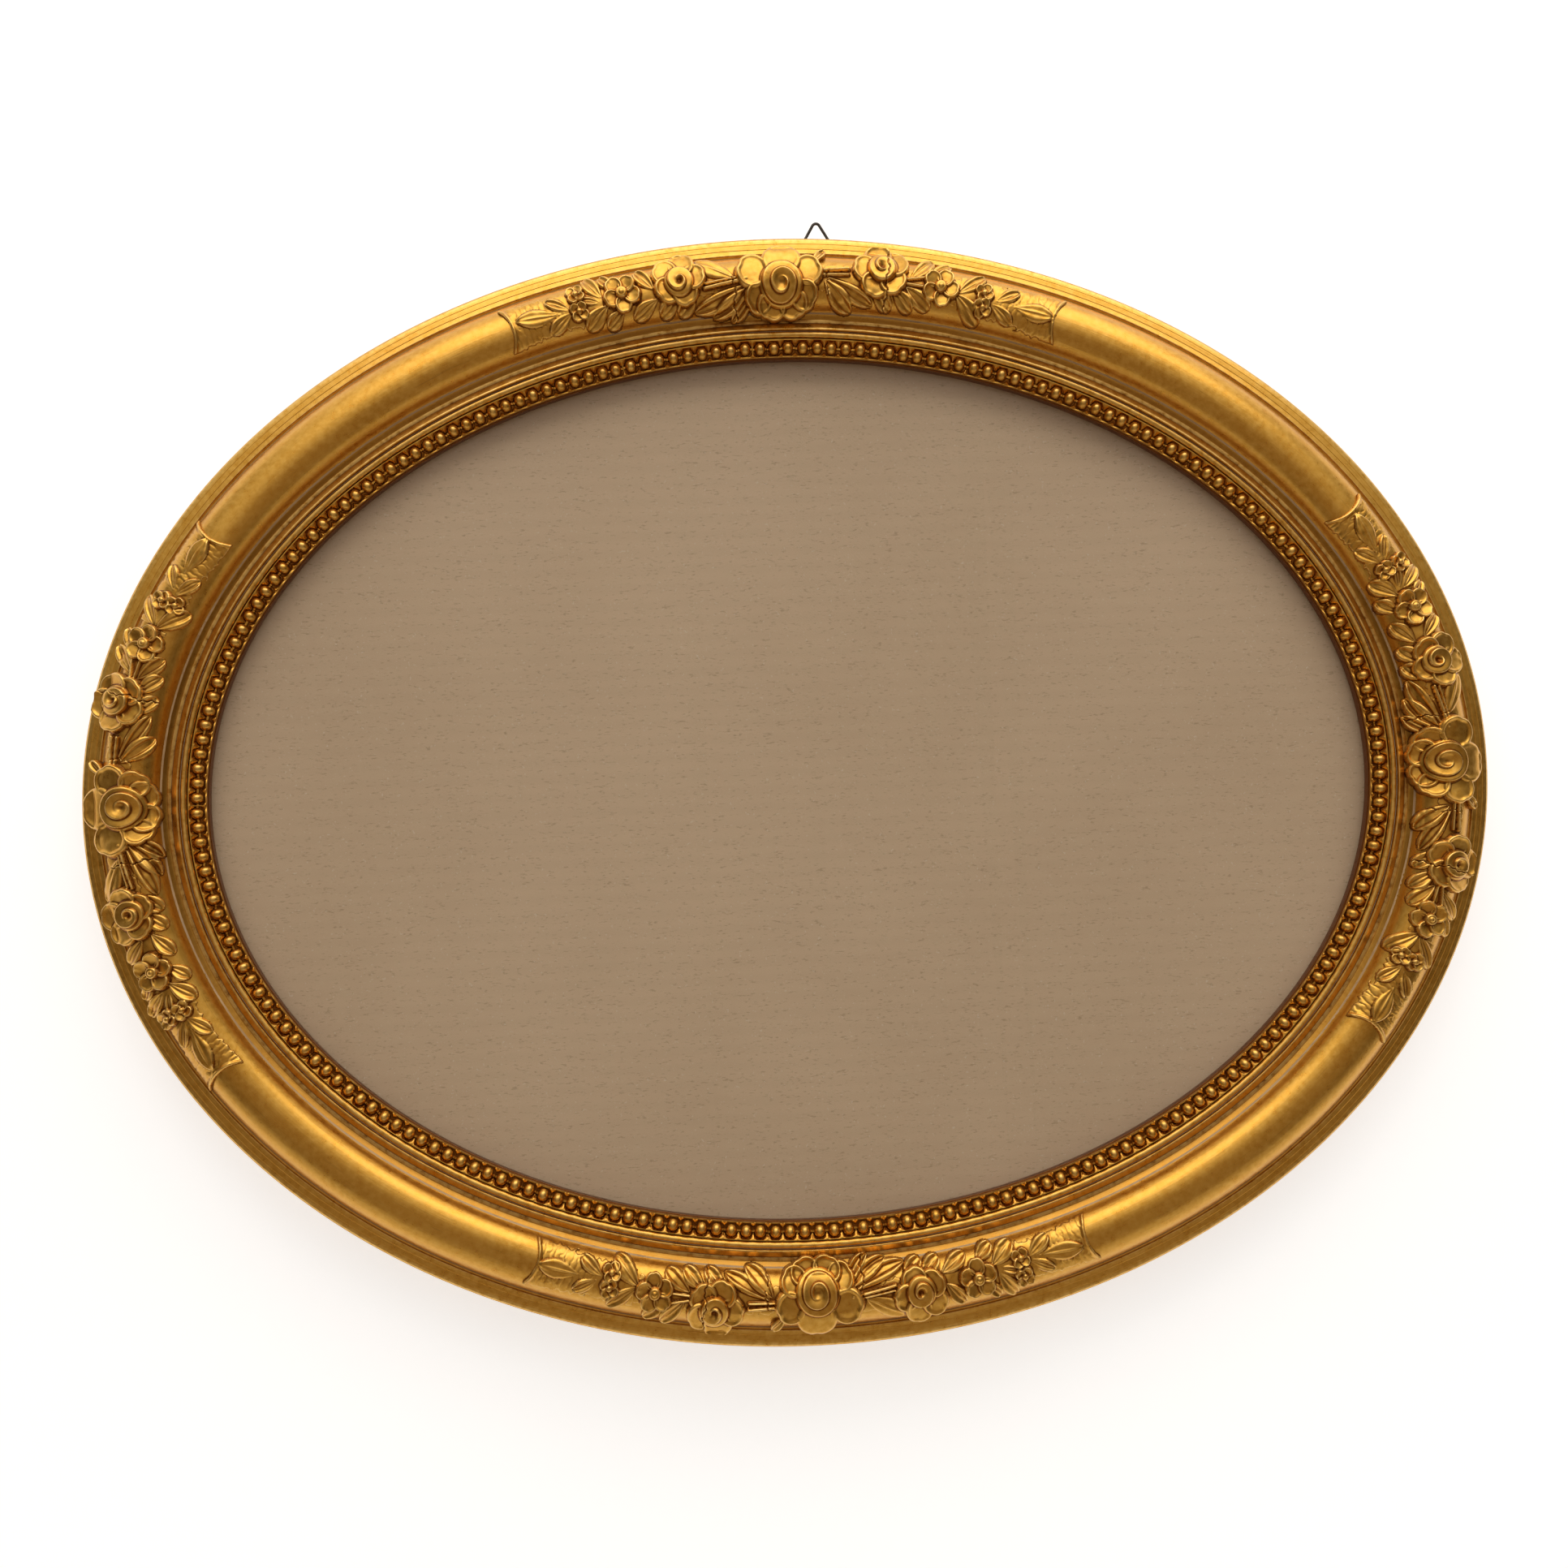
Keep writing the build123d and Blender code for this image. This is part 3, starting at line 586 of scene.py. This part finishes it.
def leaf(x, y, tip_x, tip_y, wide, rise=2.6, blunt=0.62, hollow=0.50, bend=0.0, veins=1):
    """A leaf from its base to its tip: swollen, with a hollow middle and raised veins."""
    long = math.hypot(tip_x - x, tip_y - y)
    ax, ay = (tip_x - x) / long, (tip_y - y) / long
    u = ((X - x) * ax + (Y - y) * ay) / long
    w = -(X - x) * ay + (Y - y) * ax - bend * long * u * (1 - u) * 4
    t = np.clip(u, 0.001, 0.999)
    half = wide / 2 * np.sin(np.pi * t ** 1.3) ** blunt + 0.01
    r = np.abs(w) / half
    inside = (u > 0) & (u < 1) & (r < 1)
    body = rise * (0.45 + 0.55 * ease(0.05, 0.75, t))
    shape = (1 - hollow) + hollow * ease(0.20, 0.75, r)
    edge = np.sqrt(np.clip(1 - r ** 4, 0, 1)) * ease(0, 0.12, 1 - t) ** 0.5
    ridge = 0.0
    vein_offsets = [0.0] if veins == 1 else np.linspace(-0.5, 0.5, veins)
    for offset in vein_offsets:
        ridge = ridge + 0.40 * np.exp(-((w / half - offset) / 0.11) ** 2) * ease(1.0, 0.55, t)
    return np.where(inside, (body * shape + ridge) * (0.40 + 0.60 * edge), 0)


def petal(x, y, out_angle, radius, base, top, wide, curl, lean=0.0):
    """One round petal about its middle, low towards the flower's middle and curled up at its rim."""
    a = math.radians(out_angle)
    out = ((X - x) * math.cos(a) + (Y - y) * math.sin(a)) / radius
    side = (-(X - x) * math.sin(a) + (Y - y) * math.cos(a)) / (radius * wide)
    r = np.hypot(out, side) + 0.08 * np.exp(-(side / 0.2) ** 2) * (out > 0)
    dish = base + (top - base) * ease(-0.9, 0.8, out) - 0.70 * (1 - r ** 2) * (top - base)
    rim = 1.5 * curl * np.exp(-((r - 0.84) / 0.12) ** 2)
    h = (dish + rim + lean * side) * (0.45 + 0.55 * np.sqrt(np.clip(1 - r ** 6, 0, 1)))
    return np.where(r < 1, h, 0)


def petals(x, y, count, ring, radius, base, top, turn, wide=1.0):
    """A ring of such petals, each lying a little over the next."""
    total = np.zeros_like(X)
    for number in range(count):
        angle = turn + 360 * number / count
        a = math.radians(angle)
        px, py = x + ring * math.cos(a), y + ring * math.sin(a)
        total = np.maximum(total, petal(px, py, angle, radius, base, top, wide, 0.5, 0.4))
    return total


def heart(x, y, radius, base, top, winding, turn):
    """The heart of a rose: a globe of lips that wind inwards round a deep eye."""
    dx, dy = X - x, Y - y
    r = np.hypot(dx, dy * 0.97)
    phase = r / winding - np.arctan2(dy, dx) / (2 * np.pi) + turn
    f = phase - np.floor(phase)
    lip = f ** 1.2 * (1 - ease(0.80, 1.0, f)) * ease(0.15, 0.35, r / radius)
    globe = base + (top - base) * np.sqrt(np.clip(1 - (r / radius) ** 2, 0, 1)) ** 0.8
    eye = 1.1 * np.exp(-(r / (radius * 0.17)) ** 2)
    h = globe + 1.8 * lip * ease(1.0, 0.84, r / radius) - 0.95 - eye
    return np.where(r < radius, h, 0)


def bud(x, y, radius, base, top, ring=0.4):
    """A small round bud with a ring pressed into it."""
    r = np.hypot(X - x, Y - y) / radius
    h = base + (top - base) * np.sqrt(np.clip(1 - r ** 2, 0, 1)) - ring * np.exp(-((r - 0.5) / 0.14) ** 2)
    return np.where(r < 1, h, 0)


def stem(x1, y1, x2, y2, half, rise):
    """A round stem from one place to another."""
    long = math.hypot(x2 - x1, y2 - y1)
    cx, cy = (x2 - x1) / long, (y2 - y1) / long
    u = np.clip((X - x1) * cx + (Y - y1) * cy, 0, long)
    d = np.hypot(X - x1 - u * cx, Y - y1 - u * cy) / half
    return np.where(d < 1, rise * np.sqrt(np.clip(1 - d ** 2, 0, 1)), 0)


def noise_field(seed, scale):
    """Smooth random field over the garland, with lumps of this scale."""
    rng = np.random.default_rng(seed)
    coarse = rng.normal(0, 1, (int(FIELD_LENGTH / scale) + 4, int(FIELD_WIDTH / scale) + 4))
    gx = (X - X.min()) / scale
    gy = (Y - Y.min()) / scale
    ix, iy = gx.astype(int), gy.astype(int)
    fx, fy = ease(0, 1, gx - ix), ease(0, 1, gy - iy)
    a = coarse[ix, iy] * (1 - fx) + coarse[ix + 1, iy] * fx
    b = coarse[ix, iy + 1] * (1 - fx) + coarse[ix + 1, iy + 1] * fx
    return a * (1 - fy) + b * fy


def blur(field, reach):
    """The field smoothed over this many cells to each side."""
    kernel = np.exp(-np.linspace(-2, 2, 2 * reach + 1) ** 2)
    kernel /= kernel.sum()
    padded = np.pad(field, reach, mode="edge")
    padded = np.apply_along_axis(lambda v: np.convolve(v, kernel, "valid"), 0, padded)
    return np.apply_along_axis(lambda v: np.convolve(v, kernel, "valid"), 1, padded)


# Ribbed end panels with a raised hollow end, and thin ragged ground under flowers and leaves
PANEL_MIDDLE, GROUND_MIDDLE = -2.0, -2.8
RIB_PITCH = 2.3
ragged = noise_field(7, 1.3)
panels = np.zeros_like(X)
for side, end in ((-1, 109.8), (1, 111.8)):
    u = X * side
    from_middle = Y - PANEL_MIDDLE
    hollow_end = end + 3.0 * (from_middle / 9.2) ** 2
    half = 7.4 + 1.8 * ease(88, 114, u) + 0.5 * ragged * ease(112, 100, u)
    inside = (u > 72) & (u < hollow_end) & (np.abs(from_middle) < half)
    ribs = 0.24 * np.abs(np.sin((u + 0.12 * Y + 0.5 * ragged) * np.pi / RIB_PITCH)) ** 0.7 * ease(84, 92, u)
    raised = 0.8 * np.exp(-((u - hollow_end + 0.8) / 0.7) ** 2)
    panels = np.maximum(panels, np.where(inside, 0.75 + ribs + raised, 0))
ground = np.where((np.abs(X) < 84) & (np.abs(Y - GROUND_MIDDLE) < 5.4 + 0.8 * ragged), 0.5, 0)

relief_parts = [
    panels,
    ground,
    # Leaves left of the rose, from the end inwards
    leaf(-89.2, -1.0, -107.6, -3.6, 7.4, 2.4, 0.85, 0.2),
    leaf(-85.4, -1.7, -94.3, -8.0, 4.8, 2.3),
    leaf(-85.4, -0.2, -95.6, 5.2, 5.8, 2.4),
    leaf(-73.0, -1.6, -80.4, -4.3, 3.4, 2.2),
    leaf(-72.3, -3.4, -77.8, -13.8, 6.4, 2.5),
    leaf(-66.8, -5.8, -71.6, -12.6, 5.4, 2.3),
    leaf(-70.4, 0.3, -80.8, 7.2, 7.2, 2.9),
    leaf(-64.3, 3.2, -72.4, 8.4, 6.2, 2.8),
    leaf(-51.2, -2.6, -57.6, -11.6, 6.4, 2.7),
    leaf(-50.2, 1.7, -61.2, 7.2, 6.4, 2.9),
    leaf(-42.2, 2.4, -50.2, 8.0, 6.6, 2.9, 0.5),
    leaf(-34.6, 2.2, -42.6, 8.6, 6.8, 3.0, 0.5),
    leaf(-19.0, -3.4, -34.5, -11.6, 7.6, 2.2, 0.55, 0.1),
    stem(-31.0, 0.2, -14.0, -2.2, 0.8, 2.9),
    stem(-30.5, -1.6, -14.0, -3.4, 0.6, 2.5),
    leaf(-13.0, -0.6, -36.0, 8.2, 7.0, 3.0, 0.62, 0.55, -0.05, 2),
    leaf(-13.0, 0.6, -28.6, 10.8, 6.6, 3.2, 0.62, 0.55, -0.05, 2),
    leaf(-12.0, 2.0, -21.0, 12.8, 5.6, 3.2, 0.60, 0.60, -0.06),
    # Leaves right of the rose, from it outwards
    leaf(12.6, -9.8, 17.8, -15.4, 4.2, 2.5),
    stem(15.0, -5.0, 27.0, -6.2, 0.8, 2.8),
    stem(15.0, -3.4, 27.0, -3.8, 0.6, 2.6),
    leaf(17.6, -1.6, 28.8, 9.8, 8.0, 3.0, 0.55, 0.55, 0.04, 2),
    leaf(18.6, -2.6, 37.4, 7.0, 6.4, 2.8, 0.60, 0.55, 0.03, 2),
    leaf(36.6, 0.8, 45.2, 8.0, 6.6, 2.8, 0.5),
    leaf(45.0, 0.2, 53.8, 7.6, 6.6, 2.8, 0.5),
    leaf(50.6, -1.0, 61.0, 6.2, 7.0, 2.9, 0.5, 0.5, 0.0, 2),
    leaf(52.0, -5.0, 60.6, -14.8, 6.2, 2.4),
    leaf(58.6, -6.0, 67.6, -13.8, 6.0, 2.2),
    stem(50.0, -4.0, 58.6, -6.2, 0.7, 2.4),
    stem(50.0, -2.4, 57.0, -2.2, 0.6, 2.3),
    leaf(71.4, -2.0, 81.8, -11.6, 5.8, 2.5),
    leaf(71.0, -1.2, 82.0, 8.0, 7.8, 3.0, 0.5),
    leaf(87.2, -2.2, 95.8, -8.2, 5.2, 2.5),
    leaf(86.0, -0.2, 95.2, 5.2, 5.6, 2.6, 0.5),
    leaf(94.0, -1.6, 111.2, -1.8, 7.6, 2.5, 0.85, 0.2),
    # Small flowers
    petals(-64.0, -3.2, 5, 4.2, 3.6, 2.1, 3.7, 90),
    bud(-64.0, -3.2, 2.3, 2.8, 4.6),
    petals(64.0, -3.0, 5, 4.2, 3.6, 2.1, 3.7, 75),
    bud(64.0, -3.0, 2.3, 2.8, 4.6),
    # Smaller roses
    petals(-40.9, -5.0, 5, 5.9, 5.4, 2.0, 3.5, 70, 1.05),
    heart(-40.8, -3.6, 6.0, 2.6, 5.0, 3.6, 0.2),
    petals(40.0, -6.8, 5, 6.3, 5.4, 2.0, 3.5, 40, 1.1),
    heart(40.4, -7.6, 6.0, 2.6, 5.2, 3.6, 0.6),
    # Large rose: seven outer petals of different sizes about a globe
    petal(0.4, -9.8, 270, 7.0, 2.6, 4.2, 1.15, 0.3),
    petal(-11.4, -5.4, 205, 6.8, 2.2, 3.8, 1.1, 0.7),
    petal(10.6, -5.2, 333, 6.2, 2.2, 3.8, 1.1, 0.7),
    petal(-9.4, 5.2, 150, 5.6, 2.0, 3.5, 1.1, 0.7),
    petal(9.2, 4.2, 28, 5.8, 2.2, 3.7, 1.05, 0.7),
    petal(-4.2, 8.0, 112, 5.4, 2.2, 3.8, 1.2, 0.7),
    petal(5.0, 7.6, 62, 5.4, 2.0, 3.5, 1.2, 0.7),
    heart(0.0, 0.0, 8.9, 2.4, 5.2, 3.3, 0.1),
]
# Two tiny four-petalled flowers near each end
for x, y in ((-81.9, -7.2), (-82.0, 0.0), (81.8, -4.2), (82.0, 1.8)):
    relief_parts.append(petals(x, y, 4, 2.0, 2.1, 2.0, 3.0, 30 + x))
    relief_parts.append(bud(x, y, 1.2, 2.4, 3.4, ring=0))
casting = np.maximum.reduce(relief_parts)
covered = casting > 0


def round_height(inset):
    """Height of the big round, of the band outside it and of the cove inside it."""
    band_inset, band_height, cove_slope, cove_width = 8.5, 11.4, 1.05, 3.8
    outer = np.sqrt(np.clip(outer_radius ** 2 - (CREST_INSET - inset) ** 2, 0, None))
    outer = np.where(inset < band_inset, band_height, CREST_HEIGHT - outer_radius + outer)
    from_crest = np.minimum(inset, SHOULDER[0]) - CREST_INSET
    inner = np.sqrt(np.clip(inner_radius ** 2 - from_crest ** 2, 0, None))
    fall = cove_slope * np.clip(inset - SHOULDER[0], 0, cove_width)
    return np.where(inset < CREST_INSET, outer, CREST_HEIGHT - inner_radius + inner - fall)


def support_height(inset, along):
    """Height of what a garland lies on. Between its roses it spans the flanks of the big round."""
    outer_touch, inner_touch = 14.5, 29.5
    outer_slope, inner_slope = 0.72, 0.30
    bare = round_height(inset)
    outer = round_height(np.full_like(inset, outer_touch)) - outer_slope * (outer_touch - inset)
    inner = round_height(np.full_like(inset, inner_touch)) - inner_slope * (inset - inner_touch)
    spanned = np.where(inset > inner_touch, np.maximum(inner, bare), bare)
    spanned = np.where(inset < outer_touch, np.maximum(outer, bare), spanned)
    share = 0.7 * ease(94, 70, np.abs(along))
    return bare * (1 - share) + spanned * share


def support_tilt(inset):
    """How far a garland's relief leans outwards from the front direction, as a slope."""
    outer = -(CREST_INSET - inset) / outer_radius
    inner = np.minimum(inset - CREST_INSET, 6.5) / inner_radius
    return np.where(inset < CREST_INSET, outer, inner)


THINNEST = 0.12


def worn_relief(number, worn):
    """The casting's relief for one garland, with its wear, its unevenness and its drying cracks."""
    crack_half, crack_depth = 0.2, 1.2
    relief = casting * (1 - worn) + blur(casting, 3) * worn
    relief = np.where(covered, np.maximum(relief + 0.05 * noise_field(50 + number, 2.2), THINNEST), 0)
    rng = np.random.default_rng(80 + number)
    for crack_x in (-20.0, 19.0, 43.0):
        path_x = crack_x + rng.normal(0, 1.0) + 0.5 * np.sin(Y * 0.7 + number) + 0.25 * np.sin(Y * 2.3)
        crack = crack_depth * np.exp(-((X - path_x) / crack_half) ** 2)
        relief = relief - np.where(covered & (relief > 0.9), crack, 0)
    return np.where(covered, np.maximum(relief, THINNEST), 0)


def make_garland(number, side, slip_along, slip_across, worn):
    """One garland, glued a little out of its exact place by the two slips."""
    relief = worn_relief(number, worn)
    inset = CREST_INSET + slip_across + Y
    tilt = support_tilt(inset) * 0.5
    upright = 1 / np.sqrt(1 + tilt ** 2)
    height = np.where(covered, support_height(inset, X) + relief * upright, round_height(inset) - 0.5)
    along = number * PERIMETER / 4 + slip_along + X
    points = on_oval(along, inset + relief * tilt * upright, height).reshape(-1, 3)
    faces = grid_faces(*X.shape)
    faces = faces[covered.ravel()[faces].any(axis=1)]
    used = np.unique(faces)
    renumber = np.full(X.size, -1)
    renumber[used] = np.arange(len(used))
    garland = new_piece("garland_relief_" + side, points[used], renumber[faces], gilding_garland)
    # Painted shade, with brown toning, darkens the hollows, where the relief lies below its blurred
    # surroundings, and a painted highlight, with rubbed wear, brightens what stands proud.
    near, wide = blur(relief, 3), blur(relief, 9)
    deep = 1.1 * np.clip((wide - relief) / 1.3, 0, 1) + np.clip((near - relief) / 0.30, 0, 1)
    proud = np.clip((relief - near) / 0.25, 0, 1)
    give(garland, "shade_and_toning", np.clip(deep, 0, 1).ravel()[used])
    give(garland, "wear_and_highlight", proud.ravel()[used])
    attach(garland, "frame")
    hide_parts("garland_" + side)


gilding_garland = make_gilding("gilding_garland", False)
make_garland(0, "top", 0.5, 0.3, 0.22)
make_garland(1, "right", -0.7, 0.5, 0.0)
make_garland(2, "bottom", -0.8, 1.4, 0.0)
make_garland(3, "left", -0.6, -2.6, 0.10)

# Glass
# Flat picture glass, cut to the oval and laid in the rebate against the sight lip. It is thin and clear:
# it lets light through, and its outside faces give back a little of it.
CLEAR_GLASS, GLASS_IOR = (0.975, 0.985, 0.975, 1), 1.5
glass = Finish("picture_glass")
clear = glass.node("BsdfTransparent")
clear.inputs["Color"].default_value = CLEAR_GLASS
gloss = glass.node("BsdfGlossy")
gloss.inputs["Color"].default_value = (1, 1, 1, 1)
gloss.inputs["Roughness"].default_value = 0.22
fresnel = glass.node("Fresnel")
fresnel.inputs["IOR"].default_value = GLASS_IOR
smear = glass.noise(glass.place(), 14.0, 4.0, 0.6)
shine = glass.maths("MULTIPLY", fresnel.outputs[0], glass.step(smear, 0.3, 0.7, 0.9, 1.15))
outside = glass.maths("SUBTRACT", 1.0, glass.node("NewGeometry").outputs["Backfacing"])
glass_mix = glass.node("MixShader")
glass.link(glass.maths("MULTIPLY", shine, outside), glass_mix.inputs[0])
glass.link(clear.outputs[0], glass_mix.inputs[1])
glass.link(gloss.outputs[0], glass_mix.inputs[2])
glass.link(glass_mix.outputs[0], glass.out.inputs["Surface"])
glass.tree.nodes.remove(glass.shader)
repaint("glass_pane", glass.material)

# Backing board
# Brown corrugated board, cut to the oval and laid in the rebate behind the glass. Its face is kraft paper
# with fibre specks, over flutes that show as faint level lines.
BROWN_KRAFT, LIGHT_KRAFT, MOTTLE = (0.63, 0.450, 0.300), (0.69, 0.500, 0.340), (0.66, 0.49, 0.33)
FLUTE_SHADE, DARK_FIBRE, PALE_FLECK = (0.37, 0.25, 0.145), (0.33, 0.21, 0.12), (0.74, 0.62, 0.48)
kraft = Finish("kraft_board")
place = kraft.place()
cloud = kraft.noise(place, 6.0, 5.0, 0.55)
mottle = kraft.noise(place, 160.0, 4.0, 0.65)
fibre = kraft.noise(kraft.place((420.0, 420.0, 1500.0)), 1.0, 2.0, 0.6)
fleck = kraft.noise(place, 900.0, 2.0, 0.5)
flute = kraft.node("TexWave")
flute.wave_type, flute.bands_direction = "BANDS", "Z"
flute.inputs["Scale"].default_value = 45.0
flute.inputs["Distortion"].default_value = 1.2
flute.inputs["Detail"].default_value = 2.0
kraft.link(place, flute.inputs["Vector"])
paper = kraft.blend(kraft.step(cloud, 0.3, 0.7), BROWN_KRAFT, LIGHT_KRAFT)
paper = kraft.blend(kraft.step(mottle, 0.35, 0.7, 0.0, 0.5), paper, MOTTLE)
paper = kraft.blend(kraft.step(flute.outputs["Fac"], 0.0, 1.0, 0.0, 0.05), paper, FLUTE_SHADE)
paper = kraft.blend(kraft.step(fibre, 0.58, 0.72, 0.0, 0.45), paper, DARK_FIBRE)
paper = kraft.blend(kraft.step(fleck, 0.66, 0.74, 0.0, 0.6), paper, PALE_FLECK)
kraft.surface(paper, kraft.step(mottle, 0.3, 0.7, 0.82, 0.94), specular=0.2)
raised_flutes = kraft.maths("MULTIPLY", flute.outputs["Fac"], 0.3)
kraft.bump(kraft.maths("ADD", raised_flutes, kraft.maths("MULTIPLY", fibre, 0.4)), 0.00012, 0.5)
repaint("backing_board", kraft.material)

# Metalwork on the back
# A ring of bent wire swings in a plate folded over its bottom wire and screwed to the rim. Four turn
# buttons of sheet, each on its screw, hold the board. All is plain steel, dull and a little tarnished.


def make_steel(name, pale, dark, rough):
    """Steel with darker, duller spots of tarnish and fine scratches."""
    finish = Finish(name)
    spots = finish.noise(finish.place(), 240.0, 5.0, 0.65)
    scratch = finish.noise(finish.place((300.0, 300.0, 4200.0)), 1.0, 3.0, 0.6)
    steel = finish.blend(finish.step(spots, 0.4, 0.72), pale, dark)
    finish.surface(steel, finish.step(spots, 0.3, 0.75, rough, rough + 0.22), metallic=0.9)
    finish.bump(finish.maths("ADD", spots, finish.maths("MULTIPLY", scratch, 0.5)), 0.00004, 0.5)
    return finish.material


plate_steel = make_steel("plate_steel", (0.45, 0.43, 0.39), (0.24, 0.20, 0.15), 0.36)
wire_steel = make_steel("wire_steel", (0.10, 0.09, 0.08), (0.05, 0.04, 0.03), 0.42)
screw_steel = make_steel("screw_steel", (0.50, 0.47, 0.41), (0.27, 0.23, 0.18), 0.32)
repaint("hanger_plate", plate_steel)
repaint("hanging_ring", wire_steel)
repaint("turn_button_screws", screw_steel)
repaint("hanger_screws", screw_steel)
for number in range(1, 5):
    repaint(f"turn_button_{number}", plate_steel)

# Floor and wall
# Plain and pale. The wall stands close behind the frame and takes its soft shadow. It shows only from the
# front, to the camera and in what shines or is clear.
STAGE_HALF_WIDTH = 1.6
FLOOR_FRONT, FLOOR_BACK, FLOOR_LEVEL = -0.5, 0.6, -1.2
WALL_Y, WALL_TOP, WALL_GLOW = 0.012, 0.8, 0.58


def make_stage(name, finish, near_edge, far_edge):
    """A flat panel as wide as the stage, between two level edges, each told by its depth and its height."""
    left, right = -STAGE_HALF_WIDTH, STAGE_HALF_WIDTH
    corners = [(left, *near_edge), (right, *near_edge), (right, *far_edge), (left, *far_edge)]
    plane = new_piece(name, corners, [(0, 1, 2, 3)], finish.material, smooth=False)


floor_paint = Finish("floor")
floor_paint.surface((0.66, 0.65, 0.64), 0.9, specular=0.1)
make_stage("floor", floor_paint, (FLOOR_FRONT, FLOOR_LEVEL), (FLOOR_BACK, FLOOR_LEVEL))

wall_paint = Finish("wall")
wall_paint.surface((0.85, 0.85, 0.84), 0.9, specular=0.1)
wall_paint.shader.inputs["Emission Strength"].default_value = WALL_GLOW
ray = wall_paint.node("LightPath")
looks = wall_paint.maths("ADD", ray.outputs["Is Camera Ray"], ray.outputs["Is Glossy Ray"])
looks = wall_paint.maths("ADD", looks, ray.outputs["Is Transmission Ray"], clamp=True)
front = wall_paint.maths("SUBTRACT", 1.0, wall_paint.node("NewGeometry").outputs["Backfacing"])
wall_mix = wall_paint.node("MixShader")
wall_paint.link(wall_paint.maths("MULTIPLY", looks, front), wall_mix.inputs[0])
wall_paint.link(wall_paint.node("BsdfTransparent").outputs[0], wall_mix.inputs[1])
wall_paint.link(wall_paint.shader.outputs[0], wall_mix.inputs[2])
wall_paint.link(wall_mix.outputs[0], wall_paint.out.inputs["Surface"])
make_stage("wall", wall_paint, (WALL_Y, FLOOR_LEVEL), (WALL_Y, WALL_TOP))
